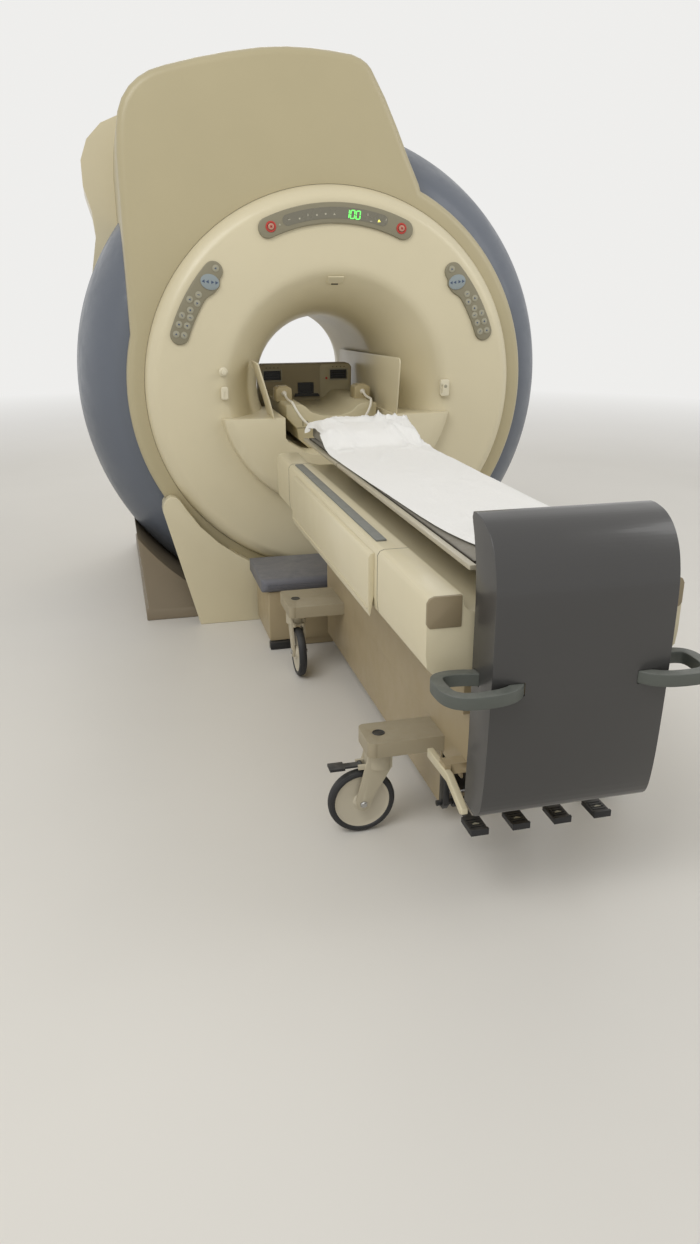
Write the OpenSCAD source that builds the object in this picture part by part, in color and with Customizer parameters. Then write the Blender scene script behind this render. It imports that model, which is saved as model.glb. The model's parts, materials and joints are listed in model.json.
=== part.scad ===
// Closed bore magnet scanner with a docking patient table.
// The origin is on the floor below the isocentre. The bore axis runs along Y,
// the front of the gantry and the table lie towards -Y.

/* [Gantry] */
// Height of the bore axis above the floor
iso_z = 1060; // [1000:5:1120]
// Radius of the patient bore
bore_r = 300; // [280:5:350]
// Outer radius of the round front cover
bezel_r = 838; // [780:2:880]
// How far the front face lies ahead of the isocentre
face_y = 838; // [800:2:900]
// Width of the rim ring around the front cover
rim_w = 74; // [40:2:110]
// How far the barrel shaped side shells bulge beyond the rim ring
shell_out_w = 216; // [180:2:240]
// Half length of the gantry body behind the covers
body_y = 772; // [740:2:800]
// Wall thickness of the moulded covers
cover_t = 8; // [4:0.5:12]

/* [Bore parts] */
// Wall thickness of the bore liner
liner_t = 6; // [4:0.5:10]
// Half length of the straight part of the bore
liner_y = 399.7; // [360:0.1:400]
// Level of the deck that carries the carriage in the bore
deck_z = 785; // [770:1:799]
// Level of the shelf at the bore mouth
shelf_z = 950; // [920:1:980]
// Half width of the channel through the dock pod
channel_w = 248; // [230:1:260]

/* [Controls] */
// Distance of the middle line of the display and the keypads from the edge of the front cover
band_in = 116; // [98:1:136]
// Width of the display band
band_w = 82; // [60:1:100]
// Half angle of the display
display_a = 24; // [18:0.5:30]
// Diameter of the stop buttons
stop_d = 26; // [18:1:34]

/* [Table] */
// Half width of the table top
top_w = 330; // [300:1:360]
// Level of the side rails with the table raised
rail_z = 840; // [760:1:900]
// Front end of the table, measured from the isocentre
table_front = 1130; // [1080:5:1200]
// Rear end of the table top, measured from the isocentre
table_rear = 3060; // [2900:5:3200]
// Half width of the chassis keel
keel_w = 155; // [130:1:180]
// Level of the underside of the cradle
cradle_z = 800; // [796:1:820]
// Outer radius of the curved cradle
cradle_r = 275; // [250:1:290]

/* [Casters] */
// Radius of the wheels
wheel_r = 100; // [75:1:110]
// Distance from the swivel axis to the wheel axle
trail = 50; // [30:1:60]
// Half distance between the left and right swivel axes
caster_x = 330; // [310:1:360]
// Distance of the front swivel axes from the isocentre
caster_front = 1465; // [1400:5:1600]
// Distance of the rear swivel axes from the isocentre
caster_rear = 2680; // [2600:5:2800]
// Radius of the swivel stems
stem_r = 13; // [10:0.5:16]
// Running clearance of stems, axles and shafts
run_gap = 0.6; // [0.3:0.05:1]

/* [Pedals] */
// Half width of a pedal pad
pedal_w = 24; // [18:1:30]
// Distance of the pedal shaft from the isocentre
pedal_y = 2900; // [2850:5:2950]
// Level of the pedal shaft
pedal_z = 195; // [150:5:220]

/* [Hidden] */
$fn = 128;
cream = "#cdc4a4";
slate = "#68758a";
dark = "#4a4845";
plate_z = 310;
plate_t = 45;
axle_r = 6;
// Front face of the moulded front cover, as radius and distance ahead of the isocentre
rim_r = bezel_r + rim_w;
shell_r = rim_r + shell_out_w;
band_r = bezel_r - band_in;
// The flare of the bore mouth, as growth of the radius and distance behind the front face
flare = [[bore_r, liner_y + 0.3], for (p = [[6, 368], [25, 278], [52, 198], [90, 123], [130, 66],
    [162, 32], [187, 12], [210, 3], [235, 0]]) [bore_r + p[0], face_y - p[1]]];
face = concat(flare, [for (p = [[62, 0], [40, 8], [18, 27], [4, 50], [0, 76]])
    [bezel_r - p[0], face_y - p[1]]]);
face_back = concat([[bezel_r, 700]], [for (p = [[8, 138], [8, 76], [12, 54], [24, 35], [44, 17],
    [63, 8]]) [bezel_r - p[0], face_y - p[1]]], [for (p = [[236, 8], [213, 11], [192, 20],
    [168, 39], [137, 72], [98, 128], [60, 202], [33, 281], [14, 369]]) [bore_r + p[0], face_y - p[1]]],
    [[bore_r + 8, liner_y + 0.3]]);
// Outline of the crown, seen from the front, height measured from the floor
crown_top = [[395, 1846], [398, 1880], [389, 1908], [342, 2003], [291, 2115], [233, 2231],
    [172, 2333], [154, 2352], [128, 2368], [88, 2382], [0, 2391], [-86, 2396], [-183, 2396],
    [-287, 2388], [-423, 2366], [-549, 2339], [-674, 2307], [-730, 2288], [-775, 2262],
    [-812, 2230], [-843, 2187], [-862, 2140], [-872, 2085], [-880, 1980], [-880, 1300]];
crown_low = [[-600, 1300], [-300, 1600], [0, 1700], [300, 1780], [360, 1812], [380, 1826]];
// Barrel profile of the side shells, radius and distance from the isocentre
barrel = concat([[rim_r - 8, 699.7]], [for (p = [[166, 680], [124, 648], [82, 600], [46, 535],
    [20, 450], [6, 340], [0, 200], [0, -58]]) [shell_r - p[0], p[1]]]);
barrel_in = concat([for (p = [[8, -58], [8, 200], [14, 338], [28, 446], [54, 530], [89, 594],
    [130, 641], [172, 670]]) [shell_r - p[0], p[1]]], [[rim_r - 8, 690]]);
// Level of the lower edge of the barrel shells
shell_low = 66;

module bore_axis() { translate([0, 0, iso_z]) rotate([90, 0, 0]) children(); }
// A slab seen from the front, between two distances ahead of the isocentre
module slab(f0, f1) { rotate([90, 0, 0]) translate([0, 0, f0]) linear_extrude(f1 - f0) children(); }
module disc_at(r) { translate([0, iso_z]) circle(r, $fn = 160); }
module ring(ri, ro, f0, f1) {
    bore_axis() difference() {
        translate([0, 0, f0]) cylinder(r = ro, h = f1 - f0, $fn = 160);
        translate([0, 0, f0 - 1]) cylinder(r = ri, h = f1 - f0 + 2, $fn = 160);
    }
}

module pedestal() {
    color("#8b7d6c") difference() {
        union() {
            translate([-905, -720, 0]) cube([1810, 1440, 60]);
            for (s = [-1, 1]) slab(-700, 720)
                polygon([[s * 889, 0], [s * 923, 443], [s * 640, 443], [s * 640, 0]]);
        }
        bore_axis() translate([0, 0, -760]) difference() {
            cylinder(r = shell_r + 0.3, h = 1520, $fn = 160);
            translate([-2 * shell_r, -2 * shell_r, -1]) cube([4 * shell_r, 2 * shell_r - iso_z + 61, 1522]);
        }
    }
}

module foot_cover(s) {
    color(cream) difference() {
        slab(724, 832) polygon([for (p = [[663, 0], [700, 150], [742, 320], [780, 470], [800, 545],
            [796, 580], [782, 602], [762, 612], [740, 608], [722, 592], [697, 552], [640, 470],
            [560, 388], [473, 322], [400, 278], [340, 247], [320, 232], [318, 212], [335, 108],
            [353, 0]]) [s * p[0], p[1]]]);
        bore_axis() translate([0, 0, 600]) cylinder(r = rim_r + 0.3, h = 172.3, $fn = 160);
        bore_axis() translate([0, 0, 600]) cylinder(r = bezel_r + 20, h = 300, $fn = 160);
        slab(716, 820) polygon([for (p = [[675, 8], [790, 545], [765, 600], [480, 320], [345, 232],
            [362, 8]]) [s * p[0], p[1]]]);
    }
}
module foot_cover_left() { foot_cover(-1); }
module foot_cover_right() { foot_cover(1); }

module cover_profile() {
    bore_axis() rotate_extrude($fn = 160) polygon(concat(face, face_back));
}
module front_bezel() { color(cream) cover_profile(); }
module rear_bezel() { color(cream) rotate([0, 0, 180]) cover_profile(); }

module crown_outline(k = 1) {
    union() {
        disc_at(rim_r * k);
        translate([-240, 1850]) scale([k, k]) translate([240, -1850])
            polygon(concat(crown_top, crown_low));
    }
}
module crown_cover() {
    color("#a89a78") difference() {
        union() {
            slab(700, body_y) intersection() {
                crown_outline();
                translate([-shell_r, shell_low]) square([2 * shell_r, 3 * shell_r]);
            }
            slab(-58, 700) difference() {
                translate([0, 0]) polygon(concat(crown_top, crown_low));
                translate([-240, 1850]) scale([0.985, 0.985]) translate([240, -1850])
                    polygon(concat(crown_top, crown_low));
                translate([-871, 0]) square([2100, 1860]);
            }
        }
        bore_axis() translate([0, 0, 690]) cylinder(r = bezel_r + 0.4, h = 100, $fn = 160);
        slab(699, body_y - cover_t) difference() {
            translate([-240, 1850]) scale([0.985, 0.985]) translate([240, -1850])
                polygon(concat(crown_top, crown_low));
            disc_at(rim_r + 1);
        }
    }
}

module barrel_shell() {
    bore_axis() rotate_extrude($fn = 160) polygon(concat(barrel, barrel_in));
}
module shell_floor() {
    translate([-2 * shell_r, -1000, -shell_r]) cube([4 * shell_r, 2000, shell_r + shell_low]);
}
module side_shell_left() {
    color(slate) difference() {
        barrel_shell();
        translate([-30, -1000, -shell_r]) cube([2 * shell_r, 2000, 3 * shell_r + iso_z]);
        translate([-880.3, -1000, 1290]) cube([900, 2000, 1200]);
        shell_floor();
    }
}
module side_shell_right() {
    color(slate) difference() {
        barrel_shell();
        translate([30 - 2 * shell_r, -1000, -shell_r]) cube([2 * shell_r, 2000, 3 * shell_r + iso_z]);
        shell_floor();
        slab(-60, 900) polygon([[0, 2400], [140, 2400], [180, 2336], [240, 2234], [298, 2117],
            [349, 2006], [397, 1910], [404, 1880], [402, 1846], [380, 1700], [0, 1700]]);
    }
}

rear_top = [[1080, 1380], [1040, 1500], [960, 1655], [850, 1800], [700, 1955], [560, 2110],
    [420, 2240], [280, 2320], [120, 2362], [-80, 2372], [-400, 2345], [-640, 2300], [-800, 2262],
    [-920, 2210], [-990, 2140], [-1025, 2050], [-1025, 1940], [-995, 1830], [-985, 1720],
    [-1020, 1540], [-1080, 1380], [-900, 1060], [900, 1060]];
module rear_outline() {
    intersection() {
        union() {
            disc_at(shell_r);
            polygon(rear_top);
        }
        translate([-2 * shell_r, shell_low]) square([4 * shell_r, 4 * shell_r]);
    }
}
module rear_inside() {
    translate([0, iso_z]) scale([0.985, 0.985]) translate([0, -iso_z]) rear_outline();
}
module rear_cover() {
    color(cream) difference() {
        slab(-body_y, -58.3) rear_outline();
        slab(-body_y + cover_t, -58.3 - cover_t) rear_inside();
        slab(-70, -50) intersection() {
            rear_inside();
            union() {
                disc_at(shell_r - cover_t - 1);
                translate([-240, 1850]) scale([0.985, 0.985]) translate([240, -1850])
                    polygon(concat(crown_top, crown_low));
            }
        }
        bore_axis() translate([0, 0, -800]) cylinder(r = bezel_r + 0.4, h = 100, $fn = 160);
        translate([-540, 50, 0]) cube([1080, 710, 100]);
    }
}

module magnet_cryostat() {
    color("#d8d8d4") union() {
        ring(440.3, shell_r - 248, -640, 640);
        translate([-200, 100, iso_z + shell_r - 328]) cylinder(r = 110, h = 330);
        for (s = [-1, 1]) translate([s * 410 - 60, -420, 60.3]) cube([120, 840, 280]);
    }
}
module gradient_coil() { color("#7a4a2a") ring(352, 440, -560, 560); }
module rf_body_coil() { color("#b08d57") ring(bore_r + liner_t + 0.3, 351.7, -390, 390); }
module bore_liner() { color("#d9d2b8") ring(bore_r, bore_r + liner_t, -liner_y, liner_y); }

// A flat band that follows the round face, with rounded ends
module band(a0, a1, w) {
    translate([0, iso_z]) union() {
        difference() {
            circle(band_r + w / 2, $fn = 200);
            circle(band_r - w / 2, $fn = 200);
            polygon(concat([[0, 0]], [for (i = [0:12]) let (a = a1 + (360 + a0 - a1) * i / 12)
                1400 * [cos(a), sin(a)]]));
        }
        for (a = [a0, a1]) translate(band_r * [cos(a), sin(a)]) circle(w / 2, $fn = 48);
    }
}
module display_panel() {
    color("#8d8770") difference() {
        slab(face_y + 0.3, face_y + 12) band(90 - display_a, 90 + display_a, band_w);
        for (s = [-1, 1]) stop_place(s) cylinder(r = stop_d / 2 + run_gap, h = 40);
    }
}
module stop_place(s) {
    bore_axis() rotate([0, 0, -s * (display_a - 1)]) translate([0, band_r, face_y - 20]) children();
}
module stop_button(s) {
    color("#b03024") stop_place(s) translate([0, 0, 27]) union() {
        cylinder(r = stop_d / 2, h = 11, $fn = 48);
        translate([0, 0, 11]) cylinder(r1 = stop_d / 2, r2 = stop_d / 2 - 2, h = 2, $fn = 48);
    }
}
module stop_button_left() { stop_button(-1); }
module stop_button_right() { stop_button(1); }

// A keypad follows the round face and widens inwards round its oval key
keypad_w = 80;
keypad_a = [19.5, 43];
keypad_lobe = 18;
function ease(t) = let (c = max(0, min(1, t))) c * c * (3 - 2 * c);
function lobe(a) = keypad_lobe * ease((a - 33.5) / 5) * ease((keypad_a[1] - a) / 2.6);
function polar(r, a) = r * [cos(a), sin(a)];
module keypad(s) {
    arc = [for (i = [0:24]) keypad_a[0] + (keypad_a[1] - keypad_a[0]) * i / 24];
    cap = [for (k = [1:7]) 22.5 * k];
    color("#85816b") slab(face_y + 0.3, face_y + 10) scale([s, 1]) translate([0, iso_z])
        polygon(concat([for (a = arc) polar(band_r + keypad_w / 2, a)],
            [for (k = cap) polar(band_r, keypad_a[1]) + polar(keypad_w / 2, keypad_a[1] + k)],
            [for (i = [24:-1:0]) polar(band_r - keypad_w / 2 - lobe(arc[i]), arc[i])],
            [for (k = cap) polar(band_r, keypad_a[0]) + polar(keypad_w / 2, keypad_a[0] + 180 + k)]));
}
module keypad_left() { mirror([1, 0, 0]) keypad(1); }
module keypad_right() { keypad(1); }

module alignment_light() {
    color("#c9c3a8") translate([0, 31.6 - face_y, iso_z + 462.5]) rotate([-43, 0, 0]) union() {
        translate([-36, -21, -7]) cube([72, 42, 5.2]);
        translate([-20, 18, -7]) cube([40, 12, 5.2]);
    }
}
module gas_valve() {
    color("#d2cbb2") bore_axis() translate([-505, 88, face_y + 0.3]) union() {
        cylinder(r = 20, h = 8, $fn = 48);
        cylinder(r = 12, h = 34, $fn = 48);
    }
}
module wall_socket() {
    color("#cfc8ae") difference() {
        slab(face_y + 0.3, face_y + 20) translate([-522, iso_z - 30]) square([36, 56]);
        slab(face_y + 10, face_y + 30) translate([-504, iso_z - 2]) circle(9, $fn = 32);
    }
}
module call_box() {
    color("#dad5c0") difference() {
        slab(face_y + 0.3, face_y + 24) translate([478, iso_z - 42]) square([44, 76]);
        slab(face_y + 16, face_y + 30) translate([490, iso_z - 20]) square([20, 30]);
    }
}

// The half moon at the bore mouth, with the channel that the cradle runs through
module dock_pod() {
    pod = concat([[0, 473]], [for (i = [1:9]) [flare[i][0] - 0.4, flare[i][1] + 0.4]],
        [[531, 862], [525, 878], [508, 888], [480, 892], [0, 892]]);
    color(cream) difference() {
        intersection() {
            bore_axis() rotate_extrude($fn = 160) polygon(pod);
            translate([-600, -1000, 500]) cube([1200, 1000, shelf_z - 500]);
        }
        slab(400, 960) polygon([[-channel_w, 1000], [-channel_w, 862], [-channel_w + 14, 842],
            [-150, deck_z + 4], [-130, deck_z], [130, deck_z], [150, deck_z + 4],
            [channel_w - 14, 842], [channel_w, 862], [channel_w, 1000]]);
        slab(870, 960) translate([-110, 640]) square([220, 60]);
    }
}
module bore_bridge() {
    color("#cfc7aa") difference() {
        intersection() {
            bore_axis() translate([0, 0, -830]) cylinder(r = bore_r - 0.3, h = 830 + face_y - 368, $fn = 160);
            translate([-150, -1000, 740]) cube([300, 2000, deck_z - 740]);
        }
        for (s = [-1, 1]) translate([s * 70 - 6, -1000, deck_z - 7]) cube([12, 2000, 20]);
        translate([-20, -1000, deck_z - 4]) cube([40, 2000, 20]);
    }
}
// The right guard is a long board that reaches into the bore, the left one leans on the flare
module side_guard_right() {
    color("#cfc8ac") translate([262, 0, 0]) rotate([90, 0, 90]) linear_extrude(6)
        polygon([[-882, shelf_z + 0.3], [-922, 1176], [-916, 1190], [-900, 1196], [190, 1164],
            [200, 1156], [200, shelf_z + 0.3]]);
}
module side_guard_left() {
    color("#cfc8ac") slab(730, 900) polygon([[-296, shelf_z + 0.3], [-316, 1030], [-342, 1120],
        [-358, 1176], [-362, 1186], [-368, 1184], [-364, 1172], [-348, 1117], [-322, 1028],
        [-302, shelf_z + 0.3]]);
}

// The board at the back of the sled, with its sockets
board_f = 140;
duct_w = 20;
duct_z = 867;
module duct(f0, f1) { slab(f0, f1) translate([-duct_w, deck_z]) square([2 * duct_w, duct_z - deck_z]); }
module coil_carriage() {
    color("#a49a7c") difference() {
        slab(board_f - 80, board_f) polygon([[-110, deck_z + 0.4], [-184, 845], [-228, 892],
            [-241, 918], [-244, 1092], [-236, 1109], [-222, 1117], [222, 1117], [236, 1109],
            [244, 1092], [241, 918], [228, 892], [184, 845], [110, deck_z + 0.4]]);
        for (s = [-1, 1]) slab(board_f - 12, board_f + 10) translate([s * 174 - 46, 1036])
            square([92, 50]);
        slab(board_f - 10, board_f + 10) translate([-42, 968]) square([84, 56]);
        slab(board_f - 90, board_f - 20) translate([-190, 900]) square([380, 190]);
        duct(board_f - 90, board_f + 10);
    }
}
// The saddle shaped sled in front of the board, with the plugs on its shoulders
sled_front = 728;
module coil_base() {
    color("#d0c8ad") difference() {
        union() {
            slab(board_f + 0.3, sled_front) polygon(concat(
                [for (p = [[-110, deck_z + 0.4], [-158, 828], [-166, 878], [-212, 926], [-215, 978],
                    [-208, 985], [-140, 985], [-122, 974], [-96, 950], [-50, 934]]) p], [[0, 930]],
                [for (p = [[50, 934], [96, 950], [122, 974], [140, 985], [208, 985], [215, 978],
                    [212, 926], [166, 878], [158, 828], [110, deck_z + 0.4]]) p]));
            for (s = [-1, 1]) slab(470, 560) polygon([[s * 158, 980], [s * 152, 1000],
                [s * 158, 1040], [s * 168, 1048], [s * 216, 1048], [s * 226, 1040],
                [s * 230, 1000], [s * 214, 980]]);
        }
        for (s = [-1, 1]) slab(712, 800) translate([s * 70 - 14, 859]) square([28, 14]);
        duct(board_f - 10, sled_front + 10);
    }
}
// White cables that run from the plugs down the base
route_left = [[-191, -560.8, 1018], [-191, -576, 1018], [-191, -612, 1006], [-192, -660, 1001],
    [-191, -705, 1000], [-185, -736, 994], [-173, -757, 966], [-147, -769, 926],
    [-114, -774, 895], [-88, -768, 877], [-74, -752, 868], [-70, -738, 866], [-70, -712.5, 866]];
route_right = [for (p = route_left) [-p[0], p[1], p[2]]];
function tube_dir(r, i) = let (a = r[max(i - 1, 0)], b = r[min(i + 1, len(r) - 1)])
    (b - a) / norm(b - a);
function dense(r, n) = [for (i = [0:len(r) - 2], k = [0:n - 1]) let (t = k / n,
    p0 = r[max(i - 1, 0)], p1 = r[i], p2 = r[i + 1], p3 = r[min(i + 2, len(r) - 1)])
    0.5 * ((2 * p1) + (p2 - p0) * t + (2 * p0 - 5 * p1 + 4 * p2 - p3) * t * t
    + (3 * p1 - p0 - 3 * p2 + p3) * t * t * t)];
module cable(route, r) {
    c = concat(dense(route, 3), [route[len(route) - 1]]);
    n = len(c);
    m = 10;
    pts = [for (i = [0:n - 1]) let (d = tube_dir(c, i), u = cross(d, [0, 0, 1]) / norm(cross(d,
        [0, 0, 1])), v = cross(u, d)) for (k = [0:m - 1])
        c[i] + r * (cos(360 * k / m) * u + sin(360 * k / m) * v)];
    polyhedron(pts, concat([[for (k = [0:m - 1]) k]], [[for (k = [m - 1:-1:0]) (n - 1) * m + k]],
        [for (i = [0:n - 2], k = [0:m - 1]) [i * m + k, (i + 1) * m + k,
        (i + 1) * m + (k + 1) % m, i * m + (k + 1) % m]]));
}
module coil_cable_left() { color("#e8e6dc") cable(route_left, 6); }
module coil_cable_right() { color("#e8e6dc") cable(route_right, 6); }

// Floor anchor that the table locks on to
module dock_anchor() {
    color("#6f7076") difference() {
        union() {
            translate([-430, -1240, 262]) cube([860, 360, 60]);
            translate([-400, -1220, 40]) cube([800, 330, 224]);
            translate([-380, -1200, 0]) cube([760, 300, 42]);
            translate([-290, -910, 0]) cube([580, 189.7, 24]);
        }
        translate([-92, -1250, 120]) cube([184, 150, 92]);
    }
}

module table_chassis() {
    color("#b5a588") difference() {
        union() {
            translate([-keel_w, -2920, 80]) cube([2 * keel_w, 1640, 380]);
            translate([-80, -1300, 130]) cube([160, 130, 70]);
            translate([-keel_w, -3120, 300]) cube([2 * keel_w, 205, 26]);
            translate([-keel_w, -3120, 300]) cube([2 * keel_w, 180, 60]);
            for (s = [-1, 1]) translate([s * 150 - 22, -3165, 346]) cube([44, 90, 334]);
            for (s = [-1, 1]) translate([s * 190 - 23.7, -3160, 540]) cube([47.4, 50, 60]);
            for (s = [-1, 1]) translate([s * 210 - 8, -2925, 170]) cube([16, 40, 150]);
            translate([-218, -2920, 290]) cube([436, 40, 30]);
        }
        translate([-keel_w + 6, -2914, 88]) cube([2 * keel_w - 12, 1628, 400]);
        for (y = [caster_front + 110, caster_rear + 65])
            translate([-500, -y - 0.3, plate_z - plate_t - 0.3])
                cube([1000, (y > 2000 ? 130.6 : 220.6), plate_t + 0.6]);
        translate([-200, -2930, 70]) cube([400, 210, 180]);
        for (s = [-1, 1]) handle_path(s, 0.4);
    }
    color("#77746c") translate([-230, -pedal_y, pedal_z]) rotate([0, 90, 0])
        cylinder(r = 8, h = 460, $fn = 48);
}
module lift_sleeve() {
    color("#8f9093") difference() {
        union() {
            translate([-120, -2700, 88.3]) cube([240, 1200, 10]);
            for (y = [-2560, -1760]) translate([-62, y, 98]) cube([124, 120, 340]);
        }
        for (y = [-2560, -1760]) translate([-53, y + 9, 90]) cube([106, 102, 400]);
    }
}
module outrigger(y0, y1, yc) {
    color("#b3ab97") difference() {
        union() {
            translate([-350, -y1, plate_z - plate_t]) cube([700, y1 - y0, plate_t]);
            for (s = [-1, 1]) translate([s * 350 - (s > 0 ? 0 : 26), -y1 + 20, plate_z - plate_t])
                cube([26, y1 - y0 - 40, plate_t]);
            for (s = [-1, 1], y = [y0 + 20, y1 - 20]) translate([s * 356, -y, plate_z - plate_t])
                cylinder(r = 20, h = plate_t, $fn = 48);
        }
        for (s = [-1, 1]) translate([s * caster_x, -yc, 0])
            cylinder(r = stem_r + run_gap, h = 400, $fn = 64);
    }
}
module outrigger_front() { outrigger(caster_front - 110, caster_front + 110, caster_front); }
module outrigger_rear() { outrigger(caster_rear - 65, caster_rear + 65, caster_rear); }

shell_out = [[-3072, 306], [-3140, 300], [-3172, 330], [-3188, 420], [-3196, 560], [-3200, 720],
    [-3200, 850], [-3194, 905], [-3178, 955], [-3150, 995], [-3112, 1020], [-3070, 1030],
    [-3044, 1030], [-3040, 1018], [-3056, 980], [-3074, 920], [-3082, 840], [-3082, 500]];
// A flat band of even width along a line of points, drawn in plan
function path_normal(p, i) = let (a = p[max(i - 1, 0)], b = p[min(i + 1, len(p) - 1)],
    d = (b - a) / norm(b - a)) [-d[1], d[0]];
function path_band(p, w) = concat([for (i = [0:len(p) - 1]) p[i] + w * path_normal(p, i)],
    [for (i = [len(p) - 1:-1:0]) p[i] - w * path_normal(p, i)]);
handle_line = [[172.4, -3124], [196, -3116], [236, -3106], [272, -3100], [300, -3102],
    [318, -3112], [326, -3130], [327, -3156], [325, -3186], [318, -3206], [304, -3220], [282, -3228], [240, -3229],
    [204, -3224], [176, -3212], [158, -3194],
    [151, -3180], [150, -3165.5]];
module handle_path(s, grow = 0) {
    for (k = [[15, 11], [12.5, 14], [8.5, 15.5]])
        translate([0, 0, 652 - k[1] - grow]) linear_extrude(2 * (k[1] + grow))
            polygon(path_band([for (q = handle_line) [s * q[0], q[1]]], k[0] + grow));
}
module end_shell() {
    color(dark) difference() {
        translate([-222, 0, 0]) rotate([90, 0, 90]) linear_extrude(444) polygon(shell_out);
        translate([-214, 0, 0]) rotate([90, 0, 90]) linear_extrude(428)
            polygon([[-3060, 280], [-3132, 280], [-3164, 336], [-3180, 424], [-3188, 562],
                [-3192, 722], [-3192, 848], [-3186, 902], [-3171, 950], [-3145, 987],
                [-3109, 1011], [-3070, 1022], [-3053, 1022], [-3064, 980], [-3066, 920],
                [-3060, 840]]);
        for (s = [-1, 1]) handle_path(s, 1.5);
    }
}
module push_handle_left() { color("#4c524c") handle_path(-1); }
module push_handle_right() { color("#4c524c") handle_path(1); }

// Caster frame: origin on the floor below the swivel axis, wheel trails along -Y
module caster_place(x, y, a) { translate([x, -y, 0]) rotate([0, 0, a]) children(); }
module fork() {
    color("#bdb39a") union() {
        translate([0, 0, 212]) cylinder(r = stem_r, h = 88, $fn = 64);
        translate([0, 0, 210]) cylinder(r = 40, h = 54.6, $fn = 64);
        for (s = [-1, 1]) translate([s * 17 - 4, -64, 209]) cube([8, 34, 14]);
        translate([-18, -54, 216]) rotate([0, 90, 0]) cylinder(r = 3, h = 36, $fn = 32);
        for (s = [-1, 1]) translate([s * 24 - 4, 0, 0]) rotate([90, 0, 90]) linear_extrude(8)
            polygon([[34, 258], [-34, 258], [-trail - 22, 110], [-trail - 16, 84],
                [-trail, 78], [-trail + 16, 84], [-trail + 24, 108], [34, 214]]);
        translate([-28, -34, 210]) cube([56, 68, 20]);
        translate([-30, -trail, wheel_r]) rotate([0, 90, 0]) cylinder(r = axle_r, h = 60, $fn = 48);
    }
}
module wheel() {
    color("#2b2b2b") translate([0, -trail, wheel_r]) rotate([0, 90, 0]) rotate_extrude($fn = 96)
        polygon([[axle_r + run_gap, -19.5], [24, -19.5], [26, -8], [66, -8], [70, -13], [78, -16],
            [94, -15], [99, -9], [wheel_r - 0.4, 0], [99, 9], [94, 15], [78, 16], [70, 13],
            [66, 8], [26, 8], [24, 19.5], [axle_r + run_gap, 19.5]]);
}
module fork_front_left() { caster_place(-caster_x, caster_front, 0) fork(); }
module fork_front_right() { caster_place(caster_x, caster_front, 0) fork(); }
module fork_rear_left() { caster_place(-caster_x, caster_rear, -90) fork(); }
module fork_rear_right() { caster_place(caster_x, caster_rear, 90) fork(); }
module wheel_front_left() { caster_place(-caster_x, caster_front, 0) wheel(); }
module wheel_front_right() { caster_place(caster_x, caster_front, 0) wheel(); }
module wheel_rear_left() { caster_place(-caster_x, caster_rear, -90) wheel(); }
module wheel_rear_right() { caster_place(caster_x, caster_rear, 90) wheel(); }
module brake_lever() {
    color("#262626") difference() {
        union() {
            translate([-20, -146, 212]) cube([40, 44, 8]);
            translate([-12, -104, 213]) cube([24, 52, 6]);
            translate([-12.4, -54, 216]) rotate([0, 90, 0]) cylinder(r = 7, h = 24.8, $fn = 32);
        }
        translate([-20, -54, 216]) rotate([0, 90, 0]) cylinder(r = 3.4, h = 40, $fn = 32);
    }
}
module brake_lever_left() { caster_place(-caster_x, caster_rear, -90) brake_lever(); }
module brake_lever_right() { caster_place(caster_x, caster_rear, 90) brake_lever(); }

module pedal(x) {
    color("#1f1f20") translate([x, -pedal_y, pedal_z]) difference() {
        union() {
            rotate([0, 90, 0]) translate([0, 0, -14]) cylinder(r = 16, h = 28, $fn = 48);
            translate([-9, -100, -6]) cube([18, 96, 12]);
            translate([-pedal_w, -168, -4]) cube([2 * pedal_w, 72, 14]);
            translate([-pedal_w, -168, 8]) cube([2 * pedal_w, 8, 6]);
        }
        rotate([0, 90, 0]) translate([0, 0, -30]) cylinder(r = 8 + run_gap, h = 60, $fn = 48);
    }
}
module pedal_1() { pedal(-172); }
module pedal_2() { pedal(-58); }
module pedal_3() { pedal(58); }
module pedal_4() { pedal(172); }

// Table top, drawn raised
frame_half = [[14, cradle_z - 0.4], [14, 782], [150, 784], [226, 800], [238, 812], [244, rail_z],
    [top_w - 18, rail_z], [top_w - 6, rail_z - 5], [top_w, rail_z - 16], [top_w, 700],
    [top_w - 4, 664], [top_w - 26, 640]];
frame_hollow = [[150, 774], [230, 790], [246, 806], [252, 832], [top_w - 22, 832],
    [top_w - 10, 826], [top_w - 10, 702], [top_w - 14, 668], [top_w - 34, 646]];
function both_sides(half) = concat(half, [for (i = [len(half) - 1:-1:0]) [-half[i][0], half[i][1]]]);
module table_frame() {
    color(cream) difference() {
        slab(table_front, table_rear) polygon(both_sides(frame_half));
        slab(table_front + 10, table_rear - 10) polygon(both_sides(frame_hollow));
        translate([-290, -table_rear + 60, 600]) cube([580, table_rear - table_front - 120, 60]);
        for (s = [-1, 1]) translate([s * (top_w - 34) - 13, -2570, rail_z - 3]) cube([26, 1150, 10]);
    }
    color("#76777b") for (s = [-1, 1]) translate([s * (top_w - 34) - 12, -2569, rail_z - 3])
        cube([24, 1148, 7]);
}
module side_panel(s) {
    color(cream) difference() {
        slab(1530, 2620) polygon([for (p = [[0.3, 702], [11, 640], [17, 660], [17, 810],
            [12, 820], [0.3, 823]]) [s * (top_w + p[0]), p[1]]]);
        slab(1540, 2610) polygon([for (p = [[-10, 700], [8, 656], [9, 662], [9, 800], [-10, 812]])
            [s * (top_w + p[0]), p[1]]]);
    }
}
module side_panel_left() { side_panel(-1); }
module side_panel_right() { side_panel(1); }
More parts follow.
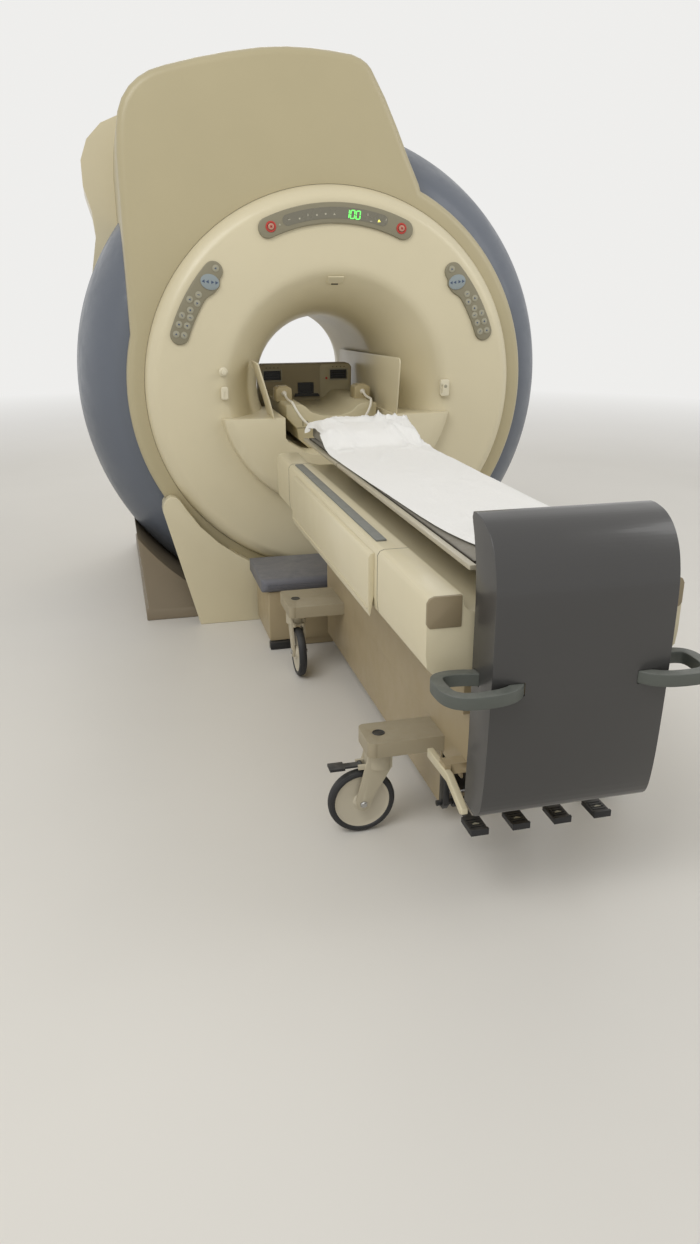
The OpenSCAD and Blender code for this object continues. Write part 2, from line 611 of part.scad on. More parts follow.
module lift_ram() {
    color("#a6a08e") union() {
        for (y = [-2550, -1750]) translate([-52, y, 245]) cube([104, 100, 516]);
        translate([-148, -2934, 756]) cube([296, 1672, 17.7]);
        difference() {
            translate([-180, -2934, 468]) cube([360, 1672, 292]);
            translate([-168, -2924, 460]) cube([336, 1652, 320]);
        }
    }
}

module trough(r, w, f0, f1) {
    slab(f0, f1) intersection() {
        translate([0, cradle_z + cradle_r]) circle(r, $fn = 160);
        translate([-w, cradle_z - 5]) square([2 * w, 96]);
    }
}
module cradle() {
    color("#b9b19a") difference() {
        union() {
            trough(cradle_r, 206, 1120, 3020);
            for (s = [-1, 1]) slab(1120, 3020) translate([s * 206 - 9, 884]) square([18, 12]);
        }
        trough(cradle_r - 8, 198, 1128, 3012);
        slab(1128, 3012) translate([-196, 880]) square([392, 60]);
    }
}
module mattress() {
    color("#77705f") slab(1134, 3006) intersection() {
        translate([0, cradle_z + cradle_r]) circle(cradle_r - 8.3, $fn = 160);
        translate([-194, cradle_z - 5]) square([388, 109]);
    }
}
module head_pad() {
    color("#6f6a5c") translate([-180, 0, 0]) rotate([90, 0, 90]) linear_extrude(360)
        polygon([[-1480, 904.3], [-1430, 940], [-1380, 964], [-1310, 974], [-1200, 974],
            [-1160, 966], [-1142, 948], [-1138, 904.3]]);
}
module sheet() {
    color("#ece9e4") translate([-206, 0, 0]) rotate([90, 0, 90]) linear_extrude(412)
        polygon([[-2990, 904.3], [-1480.8, 904.3], [-1430.4, 940.4], [-1380.2, 964.4],
            [-1310, 974.4], [-1202, 974.4], [-1202, 979.4], [-1311, 979.4], [-1383, 969.4],
            [-1434, 945], [-1483, 909.4], [-2990, 909.4]]);
}

pedestal();
foot_cover_left();
foot_cover_right();
front_bezel();
crown_cover();
side_shell_left();
side_shell_right();
rear_cover();
rear_bezel();
magnet_cryostat();
gradient_coil();
rf_body_coil();
bore_liner();
display_panel();
keypad_left();
keypad_right();
stop_button_left();
stop_button_right();
alignment_light();
gas_valve();
wall_socket();
call_box();
dock_pod();
bore_bridge();
side_guard_left();
side_guard_right();
coil_carriage();
coil_base();
coil_cable_left();
coil_cable_right();
dock_anchor();
table_chassis();
lift_sleeve();
outrigger_front();
outrigger_rear();
end_shell();
push_handle_left();
push_handle_right();
fork_front_left();
fork_front_right();
fork_rear_left();
fork_rear_right();
wheel_front_left();
wheel_front_right();
wheel_rear_left();
wheel_rear_right();
brake_lever_left();
brake_lever_right();
pedal_1();
pedal_2();
pedal_3();
pedal_4();
table_frame();
side_panel_left();
side_panel_right();
lift_ram();
cradle();
mattress();
head_pad();
sheet();
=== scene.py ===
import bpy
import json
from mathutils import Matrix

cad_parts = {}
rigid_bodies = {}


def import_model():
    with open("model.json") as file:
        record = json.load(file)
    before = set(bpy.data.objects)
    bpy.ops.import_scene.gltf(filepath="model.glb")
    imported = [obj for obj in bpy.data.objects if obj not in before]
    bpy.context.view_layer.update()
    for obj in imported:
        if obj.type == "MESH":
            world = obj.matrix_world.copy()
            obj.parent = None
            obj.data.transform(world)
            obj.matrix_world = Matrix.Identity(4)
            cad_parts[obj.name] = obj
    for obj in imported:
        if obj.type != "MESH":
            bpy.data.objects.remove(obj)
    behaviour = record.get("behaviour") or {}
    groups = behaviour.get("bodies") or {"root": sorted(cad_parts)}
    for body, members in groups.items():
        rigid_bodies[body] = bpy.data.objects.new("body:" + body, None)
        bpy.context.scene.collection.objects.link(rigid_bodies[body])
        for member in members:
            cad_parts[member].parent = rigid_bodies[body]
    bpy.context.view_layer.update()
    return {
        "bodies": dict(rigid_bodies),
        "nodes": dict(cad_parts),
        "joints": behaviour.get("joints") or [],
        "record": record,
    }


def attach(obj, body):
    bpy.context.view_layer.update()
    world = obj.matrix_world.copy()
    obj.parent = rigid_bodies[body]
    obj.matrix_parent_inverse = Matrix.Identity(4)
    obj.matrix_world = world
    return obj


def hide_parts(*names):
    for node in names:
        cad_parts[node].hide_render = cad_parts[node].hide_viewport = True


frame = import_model()

import json
import math
import random

import bpy
from mathutils import Vector

nodes = frame["nodes"]
record = frame["record"]
body_of = {n: b for b, held in record["behaviour"]["bodies"].items() for n in held}
slot_of = {p["node"]: p["material_slot"] for p in record["subparts"]}
left_as_cad = set(nodes)

SIDES = ((-1, "left"), (1, "right"))
AXIS = 1.060      # height of the bore axis
BAND = 0.722      # radius of the middle of the display and keypads
FACE = -0.8383    # where the controls sit on the front bezel's face
ROUND = 240       # sides of the large round mouldings
SEAT = 0.8384     # radius of the crown's and rear cover's seat on the bezels
SHELL_R = 1.128   # radius of the side shells and of the rear cover's sides
SHELL_FLOOR = 0.066    # where the shells and the rear cover end above the floor
THIN = 0.985      # how much smaller the inside of a cover is than its outside
PANEL_FRONT = -0.850   # front of the display panel
READOUT = -0.8514      # front of what is lit behind the window
STOP_TURN = 23    # degrees from the top of the face to either stop button
SOCKET_X, PLUG_X = 0.174, 0.191    # the coil sockets and plugs, out from the middle
CABLE_R = 0.006
GRIP_Z = 0.652    # height of the push handles
STEM_X = 0.33     # the caster stems, out from the middle
STEM_Y = {"front": -1.465, "rear": -2.680}
TRAIL = 0.05      # how far each axle stands off its caster stem
AXLE_Z = 0.1


# camera
def set_camera():
    """The photograph's own place, turn and lens."""
    bpy.ops.object.camera_add(location=(-0.987, -4.920, 1.510),
                              rotation=(math.radians(69.66), 0, math.radians(-14.36)))
    camera = bpy.context.object
    camera.name = "camera"
    camera.data.lens = 26.54
    camera.data.sensor_width = 36
    camera.data.sensor_fit = "AUTO"
    camera.data.clip_end = 100
    bpy.context.scene.camera = camera


set_camera()


# finishes
def socket_group(name, inputs, output):
    """A shader node group with named inputs and one output."""
    group = bpy.data.node_groups.new(name, "ShaderNodeTree")
    for label, kind, value in inputs:
        made = group.interface.new_socket(name=label, in_out="INPUT", socket_type=kind)
        made.default_value = value
    group.interface.new_socket(name=output[0], in_out="OUTPUT", socket_type=output[1])
    return group, group.nodes.new("NodeGroupInput"), group.nodes.new("NodeGroupOutput")


def noise_in(group, scale, detail=4.0, rough=0.55, stretch=None):
    """A noise on the piece's own coordinates, its scale wired from a socket or a number."""
    where = group.nodes.new("ShaderNodeTexCoord")
    noise = group.nodes.new("ShaderNodeTexNoise")
    noise.inputs["Detail"].default_value = detail
    noise.inputs["Roughness"].default_value = rough
    source = where.outputs["Object"]
    if stretch:
        mapping = group.nodes.new("ShaderNodeMapping")
        mapping.inputs["Scale"].default_value = stretch
        group.links.new(source, mapping.inputs["Vector"])
        source = mapping.outputs["Vector"]
    group.links.new(source, noise.inputs["Vector"])
    if isinstance(scale, (int, float)):
        noise.inputs["Scale"].default_value = scale
    else:
        group.links.new(scale, noise.inputs["Scale"])
    return noise.outputs["Fac"]


def ramp_in(group, source, low, high, a=0.35, b=0.65):
    """The source stretched from low to high between two of its own levels."""
    spread = group.nodes.new("ShaderNodeMapRange")
    spread.inputs["From Min"].default_value = a
    spread.inputs["From Max"].default_value = b
    spread.inputs["To Min"].default_value = low
    spread.inputs["To Max"].default_value = high
    group.links.new(source, spread.inputs["Value"])
    return spread.outputs["Result"]


def math_in(group, kind, a, b):
    step = group.nodes.new("ShaderNodeMath")
    step.operation = kind
    for socket, value in zip(step.inputs, (a, b)):
        if isinstance(value, (int, float)):
            socket.default_value = value
        else:
            group.links.new(value, socket)
    return step.outputs[0]


def mix_in(group, factor, a, b):
    mix = group.nodes.new("ShaderNodeMix")
    mix.data_type = "RGBA"
    for socket, value in ((mix.inputs[0], factor), (mix.inputs[6], a), (mix.inputs[7], b)):
        if isinstance(value, (int, float, tuple)):
            socket.default_value = value
        else:
            group.links.new(value, socket)
    return mix.outputs[2]


def make_tone_group():
    """Colour that ages a little unevenly: broad clouds, fine specks and dust on what faces up."""
    group, start, end = socket_group(
        "uneven_tone",
        [("Color", "NodeSocketColor", (0.8, 0.8, 0.8, 1)),
         ("Shade", "NodeSocketColor", (0.6, 0.6, 0.6, 1)),
         ("Dust", "NodeSocketColor", (0.7, 0.68, 0.62, 1)),
         ("Size", "NodeSocketFloat", 3.0),
         ("Amount", "NodeSocketFloat", 0.3),
         ("Dust Amount", "NodeSocketFloat", 0.1)],
        ("Color", "NodeSocketColor"))
    clouds = ramp_in(group, noise_in(group, start.outputs["Size"]), 0, 1)
    toned = mix_in(group, math_in(group, "MULTIPLY", clouds, start.outputs["Amount"]),
                   start.outputs["Color"], start.outputs["Shade"])
    normal = group.nodes.new("ShaderNodeNewGeometry")
    split = group.nodes.new("ShaderNodeSeparateXYZ")
    group.links.new(normal.outputs["Normal"], split.inputs[0])
    up = ramp_in(group, split.outputs["Z"], 0, 1, 0.5, 1.0)
    lint = ramp_in(group, noise_in(group, 26.0, 6.0, 0.7), 0.2, 1, 0.35, 0.75)
    dusty = math_in(group, "MULTIPLY", math_in(group, "MULTIPLY", up, lint),
                    start.outputs["Dust Amount"])
    group.links.new(mix_in(group, dusty, toned, start.outputs["Dust"]), end.inputs[0])
    return group


def make_gloss_group():
    """Roughness with smears and fingermarks."""
    group, start, end = socket_group(
        "uneven_gloss",
        [("Roughness", "NodeSocketFloat", 0.4), ("Spread", "NodeSocketFloat", 0.1),
         ("Size", "NodeSocketFloat", 9.0)],
        ("Roughness", "NodeSocketFloat"))
    smear = ramp_in(group, noise_in(group, start.outputs["Size"], 5.0, 0.6), -1, 1)
    group.links.new(math_in(group, "ADD", start.outputs["Roughness"],
                            math_in(group, "MULTIPLY", smear, start.outputs["Spread"])),
                    end.inputs[0])
    return group


def make_grain_group():
    """Height of a fine moulded or cast skin."""
    group, start, end = socket_group(
        "fine_grain", [("Size", "NodeSocketFloat", 700.0), ("Depth", "NodeSocketFloat", 1.0)],
        ("Height", "NodeSocketFloat"))
    group.links.new(math_in(group, "MULTIPLY", noise_in(group, start.outputs["Size"], 2.0),
                            start.outputs["Depth"]), end.inputs[0])
    return group


def make_weave_group():
    """Height of a plain weave, two crossed sets of threads."""
    group, start, end = socket_group(
        "plain_weave", [("Threads", "NodeSocketFloat", 900.0), ("Depth", "NodeSocketFloat", 1.0)],
        ("Height", "NodeSocketFloat"))
    where = group.nodes.new("ShaderNodeTexCoord")
    heights = []
    for direction in ("X", "Y"):
        wave = group.nodes.new("ShaderNodeTexWave")
        wave.bands_direction = direction
        wave.inputs["Distortion"].default_value = 0.6
        wave.inputs["Detail"].default_value = 1.0
        group.links.new(where.outputs["UV"], wave.inputs["Vector"])
        group.links.new(start.outputs["Threads"], wave.inputs["Scale"])
        heights.append(wave.outputs["Fac"])
    group.links.new(math_in(group, "MULTIPLY", math_in(group, "MULTIPLY", *heights),
                            start.outputs["Depth"]), end.inputs[0])
    return group


def make_scuff_group():
    """Mask of the light rub marks near floor level and on what is handled."""
    group, start, end = socket_group(
        "scuffs", [("Size", "NodeSocketFloat", 40.0), ("Amount", "NodeSocketFloat", 0.2)],
        ("Mask", "NodeSocketFloat"))
    marks = ramp_in(group, noise_in(group, start.outputs["Size"], 8.0, 0.75, (1, 1, 0.25)),
                    0, 1, 0.62, 0.74)
    group.links.new(math_in(group, "MULTIPLY", marks, start.outputs["Amount"]), end.inputs[0])
    return group


TONE = make_tone_group()
GLOSS = make_gloss_group()
GRAIN = make_grain_group()
WEAVE = make_weave_group()
SCUFF = make_scuff_group()


def linear(rgb):
    """An sRGB colour of 0 to 255 as the linear one that a shader takes."""
    return tuple(c / 12.92 if c <= 0.04045 else ((c + 0.055) / 1.055) ** 2.4
                 for c in (v / 255 for v in rgb)) + (1.0,)


def placed(tree, group, **values):
    """One node of a shared group, its sockets set by name."""
    step = tree.nodes.new("ShaderNodeGroup")
    step.node_tree = group
    for label, value in values.items():
        step.inputs[label.replace("_", " ")].default_value = value
    return step.outputs[0]


def finish(name, rgb, rough=0.4, tone=0.35, size=2.5, dust=0.12, grain=700.0, depth=0.35,
           spread=0.08, metal=0.0, coat=0.0, scuff=0.0, weave=None, sheen=0.0, shade=0.86):
    """A finish from its sRGB colour: uneven tone, smears, a grained or woven skin, scuffs."""
    made = bpy.data.materials.new(name)
    made.use_nodes = True
    tree = made.node_tree
    shader = tree.nodes["Principled BSDF"]
    base = linear(rgb)
    colour = placed(tree, TONE, Color=base, Shade=tuple(c * shade for c in base[:3]) + (1,),
                    Size=size, Amount=tone, Dust_Amount=dust)
    if scuff:
        mask = placed(tree, SCUFF, Amount=scuff)
        worn = tuple(min(1, c * 1.5 + 0.04) for c in base[:3]) + (1,)
        colour = mix_in(tree, mask, colour, worn)
    tree.links.new(colour, shader.inputs["Base Color"])
    tree.links.new(placed(tree, GLOSS, Roughness=rough, Spread=spread),
                   shader.inputs["Roughness"])
    shader.inputs["Metallic"].default_value = metal
    shader.inputs["Coat Weight"].default_value = coat
    shader.inputs["Coat Roughness"].default_value = 0.12
    shader.inputs["Sheen Weight"].default_value = sheen
    bump = tree.nodes.new("ShaderNodeBump")
    bump.inputs["Strength"].default_value = depth
    bump.inputs["Distance"].default_value = 0.0004
    height = (placed(tree, WEAVE, Threads=weave) if weave
              else placed(tree, GRAIN, Size=grain))
    tree.links.new(height, bump.inputs["Height"])
    tree.links.new(bump.outputs["Normal"], shader.inputs["Normal"])
    return made


def lamp_finish(name, rgb, strength):
    """A lit segment or mark behind the smoked window."""
    made = finish(name, rgb, rough=0.3, dust=0.0)
    shader = made.node_tree.nodes["Principled BSDF"]
    glow = placed(made.node_tree, TONE, Color=linear(rgb), Shade=linear(rgb), Size=400.0,
                  Amount=0.2, Dust_Amount=0.0)
    made.node_tree.links.new(glow, shader.inputs["Emission Color"])
    shader.inputs["Emission Strength"].default_value = strength
    return made


# one for each slot of the record, then one for each kind of small detail
FINISH = dict(
    covers=finish("cream_moulding", (212, 202, 171), rough=0.36, coat=0.15, tone=0.25,
                  spread=0.04),
    # painted shade: the crown is the covers' cream plastic, given a darker beige for the shade on
    # its face
    crown=finish("crown_moulding_painted_shade", (178, 167, 133), rough=0.42, coat=0.1, tone=0.25, spread=0.04),
    shell=finish("blue_grey_moulding", (96, 102, 112), rough=0.42, coat=0.1, scuff=0.02),
    plinth=finish("taupe_paint", (132, 120, 100), rough=0.5, grain=420.0, depth=0.5, scuff=0.15),
    cryostat=finish("white_steel_paint", (216, 216, 210), rough=0.4, depth=0.2),
    coil=finish("cast_resin", (126, 82, 48), rough=0.35, coat=0.3, size=12.0, tone=0.7),
    liner=finish("liner_gelcoat", (206, 197, 168), rough=0.38, coat=0.1, depth=0.06, tone=0.1,
                 spread=0.02),
    panel=finish("panel_membrane", (134, 128, 106), rough=0.5, grain=1200.0, depth=0.25),
    stop=finish("red_button", (186, 52, 40), rough=0.3, coat=0.4, dust=0.05),
    fitting=finish("pale_moulding", (218, 210, 184), rough=0.4),
    carriage=finish("beige_housing", (160, 148, 118), rough=0.5, depth=0.6),
    coil_base=finish("cream_base", (196, 186, 154), rough=0.42),
    cable=finish("white_jacket", (228, 224, 212), rough=0.5, grain=300.0, dust=0.05),
    anchor=finish("grey_anchor_paint", (104, 105, 112), rough=0.5, depth=0.6, scuff=0.25),
    chassis=finish("tan_paint", (168, 152, 120), rough=0.45, depth=0.3, scuff=0.03),
    lift=finish("drawn_aluminium", (168, 168, 170), rough=0.3, metal=1.0, grain=90.0, depth=0.3),
    outrigger=finish("beige_casting", (162, 151, 126), rough=0.5, grain=260.0, depth=0.8,
                     scuff=0.15),
    end_shell=finish("dark_moulding", (60, 59, 58), rough=0.32, coat=0.3, tone=0.2, spread=0.03,
                     dust=0.0, grain=260.0, depth=0.12),
    handle=finish("grip_moulding", (86, 90, 84), rough=0.5, grain=900.0, depth=0.7, scuff=0.1),
    fork=finish("fork_casting", (184, 175, 152), rough=0.5, grain=260.0, depth=0.8, scuff=0.2),
    wheel=finish("black_tyre", (36, 36, 37), rough=0.6, grain=500.0, depth=0.6, scuff=0.25),
    pedal=finish("black_pad", (30, 30, 32), rough=0.5, grain=500.0, depth=0.7, scuff=0.2),
    cradle=finish("glass_fibre_tray", (182, 174, 152), rough=0.35, coat=0.3, grain=500.0),
    pad=finish("grey_vinyl", (112, 106, 92), rough=0.5, grain=420.0, depth=1.2, sheen=0.15),
    sheet=finish("white_cotton", (238, 237, 233), rough=0.85, tone=0.2, weave=260.0,
                 depth=0.35, sheen=0.3, dust=0.0, shade=0.93),
    # dark joints and piping, and also the painted shade in the grooves round the bezels and under
    # the side panels' ledges
    ledge_painted_shadow=finish("dark_seam_and_painted_shade", (58, 52, 42), rough=0.7, dust=0.3),
    # black plastic parts, and also the painted shade on the pedal shaft and its lugs
    black=finish("black_plastic_and_painted_shade", (26, 26, 27), rough=0.4, depth=0.5),
    window=finish("smoked_window", (112, 108, 92), rough=0.28, coat=0.5, tone=0.2),
    button=finish("button_cap", (158, 154, 134), rough=0.42, grain=1400.0, dust=0.2),
    ink=finish("blue_ink", (62, 78, 104), rough=0.5),
    pale_ink=finish("pale_ink", (186, 182, 162), rough=0.5),
    oval=finish("blue_oval_cap", (140, 150, 152), rough=0.4, coat=0.2),
    strip=finish("grey_rail_strip", (114, 116, 112), rough=0.55, grain=300.0, depth=0.8),
    carriage_panel=finish("carriage_panel", (176, 166, 134), rough=0.45),
    plug=finish("plug_moulding", (172, 158, 122), rough=0.45),
    steel=finish("brushed_steel", (186, 186, 184), rough=0.26, metal=1.0, grain=60.0, depth=0.3),
    rose=finish("rose_button", (186, 140, 118), rough=0.35, coat=0.2, dust=0.05),
    # painted shade: a darker beige than the covers for the shade on the table's rear end
    cap=finish("end_cap_painted_shade", (146, 132, 104), rough=0.45, scuff=0.05),
    hub=finish("hub_moulding", (196, 188, 168), rough=0.42, scuff=0.12),
    green_lamp=lamp_finish("green_lamp", (90, 235, 90), 2.2),
    yellow_lamp=lamp_finish("yellow_lamp", (226, 220, 96), 1.2),
)


# making pieces
def let_go():
    for piece in bpy.context.selected_objects:
        piece.select_set(False)


def take(piece):
    let_go()
    piece.select_set(True)
    bpy.context.view_layer.objects.active = piece


def to_edit(piece):
    take(piece)
    bpy.ops.object.mode_set(mode="EDIT")
    bpy.ops.mesh.select_mode(type="VERT")
    bpy.ops.mesh.select_all(action="SELECT")


def to_object():
    bpy.ops.object.mode_set(mode="OBJECT")


def apply_all(piece):
    take(piece)
    for step in list(piece.modifiers):
        bpy.ops.object.modifier_apply(modifier=step.name)


def smooth(piece, angle=32):
    take(piece)
    bpy.ops.object.shade_smooth_by_angle(angle=math.radians(angle))


def soften(piece, width, segments=2, angle=30):
    """A small round along every sharp edge."""
    step = piece.modifiers.new("edge", "BEVEL")
    step.width = width
    step.segments = segments
    step.limit_method = "ANGLE"
    step.angle_limit = math.radians(angle)
    step.use_clamp_overlap = True
    apply_all(piece)


def cut(piece, *cutters, mode="DIFFERENCE"):
    for cutter in cutters:
        step = piece.modifiers.new("cut", "BOOLEAN")
        step.operation = mode
        step.solver = "EXACT"
        step.object = cutter
        apply_all(piece)
        bpy.data.objects.remove(cutter)
    return piece


def joined(name, *pieces):
    """Several pieces made one mesh under one name."""
    let_go()
    for piece in pieces:
        piece.select_set(True)
    bpy.context.view_layer.objects.active = pieces[0]
    bpy.ops.object.join()
    pieces[0].name = name
    return pieces[0]


def settle(piece):
    """Puts the piece's place into its mesh."""
    take(piece)
    bpy.ops.object.transform_apply(location=True, rotation=True, scale=True)
    return piece


def plate(name, outline, near, far, seen="front"):
    """A slab cut to an outline. Seen from the front the outline is x and z, from the side
    y and z, from the top x and y; near and far lie along the axis it is seen along."""
    let_go()
    bpy.ops.mesh.primitive_circle_add(vertices=len(outline), radius=1, fill_type="NGON")
    piece = bpy.context.object
    piece.name = name
    for vertex, (a, b) in zip(piece.data.vertices, outline):
        vertex.co = {"front": (a, near, b), "side": (near, a, b), "top": (a, b, near)}[seen]
    reach = far - near
    push = {"front": (0, reach, 0), "side": (reach, 0, 0), "top": (0, 0, reach)}[seen]
    to_edit(piece)
    bpy.ops.mesh.extrude_region_move(TRANSFORM_OT_translate={"value": push})
    bpy.ops.mesh.select_all(action="SELECT")
    bpy.ops.mesh.normals_make_consistent(inside=False)
    to_object()
    return piece


def turned(name, profile, centre=(0, 0, AXIS), axis="Y", steps=192):
    """A round piece from its closed half section, as distance along the axis and radius."""
    let_go()
    bpy.ops.mesh.primitive_circle_add(vertices=len(profile), radius=1, fill_type="NOTHING")
    piece = bpy.context.object
    piece.name = name
    cx, cy, cz = centre
    for vertex, (along, radius) in zip(piece.data.vertices, profile):
        vertex.co = {"Y": (cx, cy + along, cz + radius), "X": (cx + along, cy, cz + radius),
                     "Z": (cx + radius, cy, cz + along)}[axis]
    to_edit(piece)
    line = {"X": (1, 0, 0), "Y": (0, 1, 0), "Z": (0, 0, 1)}[axis]
    bpy.ops.mesh.spin(steps=steps, angle=2 * math.pi, center=centre, axis=line)
    bpy.ops.mesh.select_all(action="SELECT")
    bpy.ops.mesh.remove_doubles(threshold=2e-6)
    bpy.ops.mesh.select_all(action="SELECT")
    bpy.ops.mesh.normals_make_consistent(inside=False)
    to_object()
    return piece


def block(name, low, high):
    let_go()
    bpy.ops.mesh.primitive_cube_add(size=1, location=[(a + b) / 2 for a, b in zip(low, high)],
                                    scale=[b - a for a, b in zip(low, high)])
    piece = bpy.context.object
    piece.name = name
    return settle(piece)


def span(name, x, half, along, up):
    """A block centred on x, from its ranges along the table and up."""
    return block(name, (x - half, along[0], up[0]), (x + half, along[1], up[1]))


def to_mesh(piece):
    take(piece)
    bpy.ops.object.convert(target="MESH")
    return bpy.context.object


def dress(piece, kind, body, *replaced, slot=None, angle=32):
    """Gives a finished piece its finish and its body, and hides the CAD nodes that it replaces."""
    piece.data.materials.clear()
    piece.data.materials.append(FINISH[kind])
    if piece.type == "MESH":
        smooth(piece, angle)
    if replaced:
        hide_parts(*replaced)
        left_as_cad.difference_update(replaced)
        slot = slot or slot_of[replaced[0]]
    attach(piece, body)
    return piece


def copy_of(node, name, flat=1.0):
    """A merged copy of a CAD node, ready to be worked on."""
    source = nodes[node]
    piece = bpy.data.objects.new(name, source.data.copy())
    bpy.context.scene.collection.objects.link(piece)
    to_edit(piece)
    bpy.ops.mesh.remove_doubles(threshold=1e-5)
    bpy.ops.mesh.select_all(action="SELECT")
    bpy.ops.mesh.dissolve_limited(angle_limit=math.radians(flat))
    to_object()
    return piece


def worked(node, name, width, segments=2, kind=None, angle=30):
    """The CAD node's own shape with softened edges, standing for the node."""
    piece = copy_of(node, name)
    soften(piece, width, segments, angle)
    return dress(piece, kind or slot_of[node], body_of[node], node)


def mm(points):
    return [(a / 1000, b / 1000) for a, b in points]


def flipped(points, side):
    return [(side * a, b) for a, b in points]


def both(half, middle=()):
    """An even outline from one half of it, with what lies between the halves."""
    return half + list(middle) + [(-a, b) for a, b in reversed(half)]


def round_outline(centre, radius, start, end, count):
    return [(centre[0] + radius * math.cos(math.radians(start + (end - start) * i / count)),
             centre[1] + radius * math.sin(math.radians(start + (end - start) * i / count)))
            for i in range(count + 1)]


def on_face(radius, angle):
    """A place on the round front face, from its radius and angle."""
    return (radius * math.cos(math.radians(angle)), AXIS + radius * math.sin(math.radians(angle)))


# cables
LEFT_RUN = [(-0.191, -0.5608, 1.018), (-0.191, -0.576, 1.018), (-0.191, -0.612, 1.006),
            (-0.192, -0.660, 1.001), (-0.191, -0.705, 1.000), (-0.185, -0.736, 0.994),
            (-0.173, -0.757, 0.966), (-0.147, -0.769, 0.926), (-0.114, -0.774, 0.895),
            (-0.088, -0.768, 0.877), (-0.074, -0.752, 0.868), (-0.070, -0.738, 0.866),
            (-0.070, -0.7125, 0.866)]


def through(route, between=8):
    """Points of one smooth line through the route's points."""
    made = []
    for i in range(len(route) - 1):
        p0, p1, p2, p3 = (Vector(route[min(max(j, 0), len(route) - 1)])
                          for j in (i - 1, i, i + 1, i + 2))
        for k in range(between):
            t = k / between
            made.append(0.5 * ((2 * p1) + (p2 - p0) * t + (2 * p0 - 5 * p1 + 4 * p2 - p3) * t ** 2
                               + (3 * p1 - p0 - 3 * p2 + p3) * t ** 3))
    return [tuple(p) for p in made] + [tuple(route[-1])]


def poly_rod(name, line, radius):
    """A tube along a line of close points."""
    let_go()
    bpy.ops.curve.primitive_nurbs_path_add()
    piece = bpy.context.object
    piece.name = name
    piece.data.splines.clear()
    spline = piece.data.splines.new("POLY")
    spline.points.add(len(line) - 1)
    for point, place in zip(spline.points, line):
        point.co = (*place, 1)
    piece.location = (0, 0, 0)
    piece.data.bevel_depth = radius
    piece.data.bevel_resolution = 3
    piece.data.use_fill_caps = True
    return piece


def make_cables():
    """The two coil cables, from the plugs down the front of the sled."""
    for side, name in SIDES:
        line = through([(-side * x, y, z) for x, y, z in LEFT_RUN])
        cable = to_mesh(poly_rod(f"coil_cable_{name}_jacket", line, CABLE_R))
        dress(cable, "cable", "carriage", f"coil_cable_{name}", angle=60)


make_cables()


# gantry covers
CROWN_TOP = mm([(398, 1880), (389, 1908), (342, 2003), (291, 2115), (233, 2231), (172, 2333),
                (154, 2352), (128, 2368), (88, 2382), (0, 2391), (-86, 2396), (-183, 2396),
                (-287, 2388), (-423, 2366), (-549, 2339), (-674, 2307), (-730, 2288),
                (-775, 2262), (-812, 2230), (-843, 2187), (-862, 2140), (-872, 2085),
                (-880, 1980), (-880, 1640), (-880, 1300)])
CROWN_LEFT, CROWN_FOOT, CROWN_END = -0.880, 1.300, 0.8205
CROWN_FRONT, CROWN_BACK, CROWN_MIDDLE = -0.772, 0.058, (-0.240, 1.850)
RIM = 0.912       # outside of the ring that the crown sends round the bezel
REAR_TOP = mm([(1080, 1380), (1040, 1500), (960, 1655), (850, 1800), (700, 1955), (560, 2110),
               (420, 2240), (280, 2320), (120, 2362), (-80, 2372), (-400, 2345), (-640, 2300),
               (-800, 2262), (-920, 2210), (-990, 2140), (-1025, 2050), (-1025, 1940),
               (-995, 1830), (-985, 1720), (-1020, 1540), (-1080, 1380)])
FLARE = [(300, 400), (306, 470), (325, 560), (352, 640), (390, 715), (430, 772), (462, 806),
         (487, 826), (510, 835), (535, 838)]
EDGE = [(776, 838), (788, 835.5), (800, 829), (813, 818.5), (825, 804), (833, 787), (837, 771),
        (838, 762)]
BEZEL_IN = [(838, 700), (830, 700), (830, 762), (826, 784), (814, 803), (794, 821), (775, 830),
            (536, 830), (513, 827), (492, 818), (468, 799), (437, 766), (398, 710), (360, 636),
            (333, 557), (314, 469), (308, 400)]
BARREL = [(904, 699.7), (934, 691), (962, 680), (1004, 648), (1046, 600), (1082, 535),
          (1108, 450), (1122, 340), (1128, 200), (1128, -58)]
BARREL_IN = [(1120, -58), (1120, 200), (1114, 338), (1100, 446), (1074, 530), (1039, 594),
             (998, 641), (956, 670), (904, 690)]


def section(points, side=-1):
    """Radius and distance lists in millimetres, as (along, radius) pairs in metres."""
    return [(side * f / 1000, r / 1000) for r, f in points]


def profile(points, side=-1, between=3):
    """The same list as one smooth line."""
    return [(a, r) for a, r, _ in through([(*p, 0) for p in section(points, side)], between)]


def select_where(piece, test):
    """Selects the vertices that pass the test, for the next step in edit mode."""
    to_edit(piece)
    bpy.ops.mesh.select_all(action="DESELECT")
    to_object()
    for vertex in piece.data.vertices:
        vertex.select = test(vertex.co)
    take(piece)
    bpy.ops.object.mode_set(mode="EDIT")
    bpy.ops.mesh.select_mode(type="EDGE")


def bevel_ring(piece, test, width, segments):
    """Rounds the edges whose two ends pass the test."""
    select_where(piece, test)
    bpy.ops.mesh.bevel(offset=width, segments=segments, affect="EDGES", clamp_overlap=True)
    to_object()


def cylinder(name, radius, low, high, centre=(0, AXIS), sides=192, axis="Y"):
    """A drum from low to high along its axis, its centre given as the other two places."""
    middle = (low + high) / 2
    if axis == "Y":
        place, turn = (centre[0], middle, centre[1]), (math.pi / 2, 0, 0)
    else:
        place, turn = (middle, *centre), (0, math.pi / 2, 0)
    let_go()
    bpy.ops.mesh.primitive_cylinder_add(vertices=sides, radius=radius, depth=high - low,
                                        location=place, rotation=turn)
    piece = bpy.context.object
    piece.name = name
    return settle(piece)


def shrunk(outline, centre):
    """The inside of a cover, from the outline of its outside."""
    cx, cz = centre
    return [(cx + THIN * (x - cx), cz + THIN * (z - cz)) for x, z in outline]


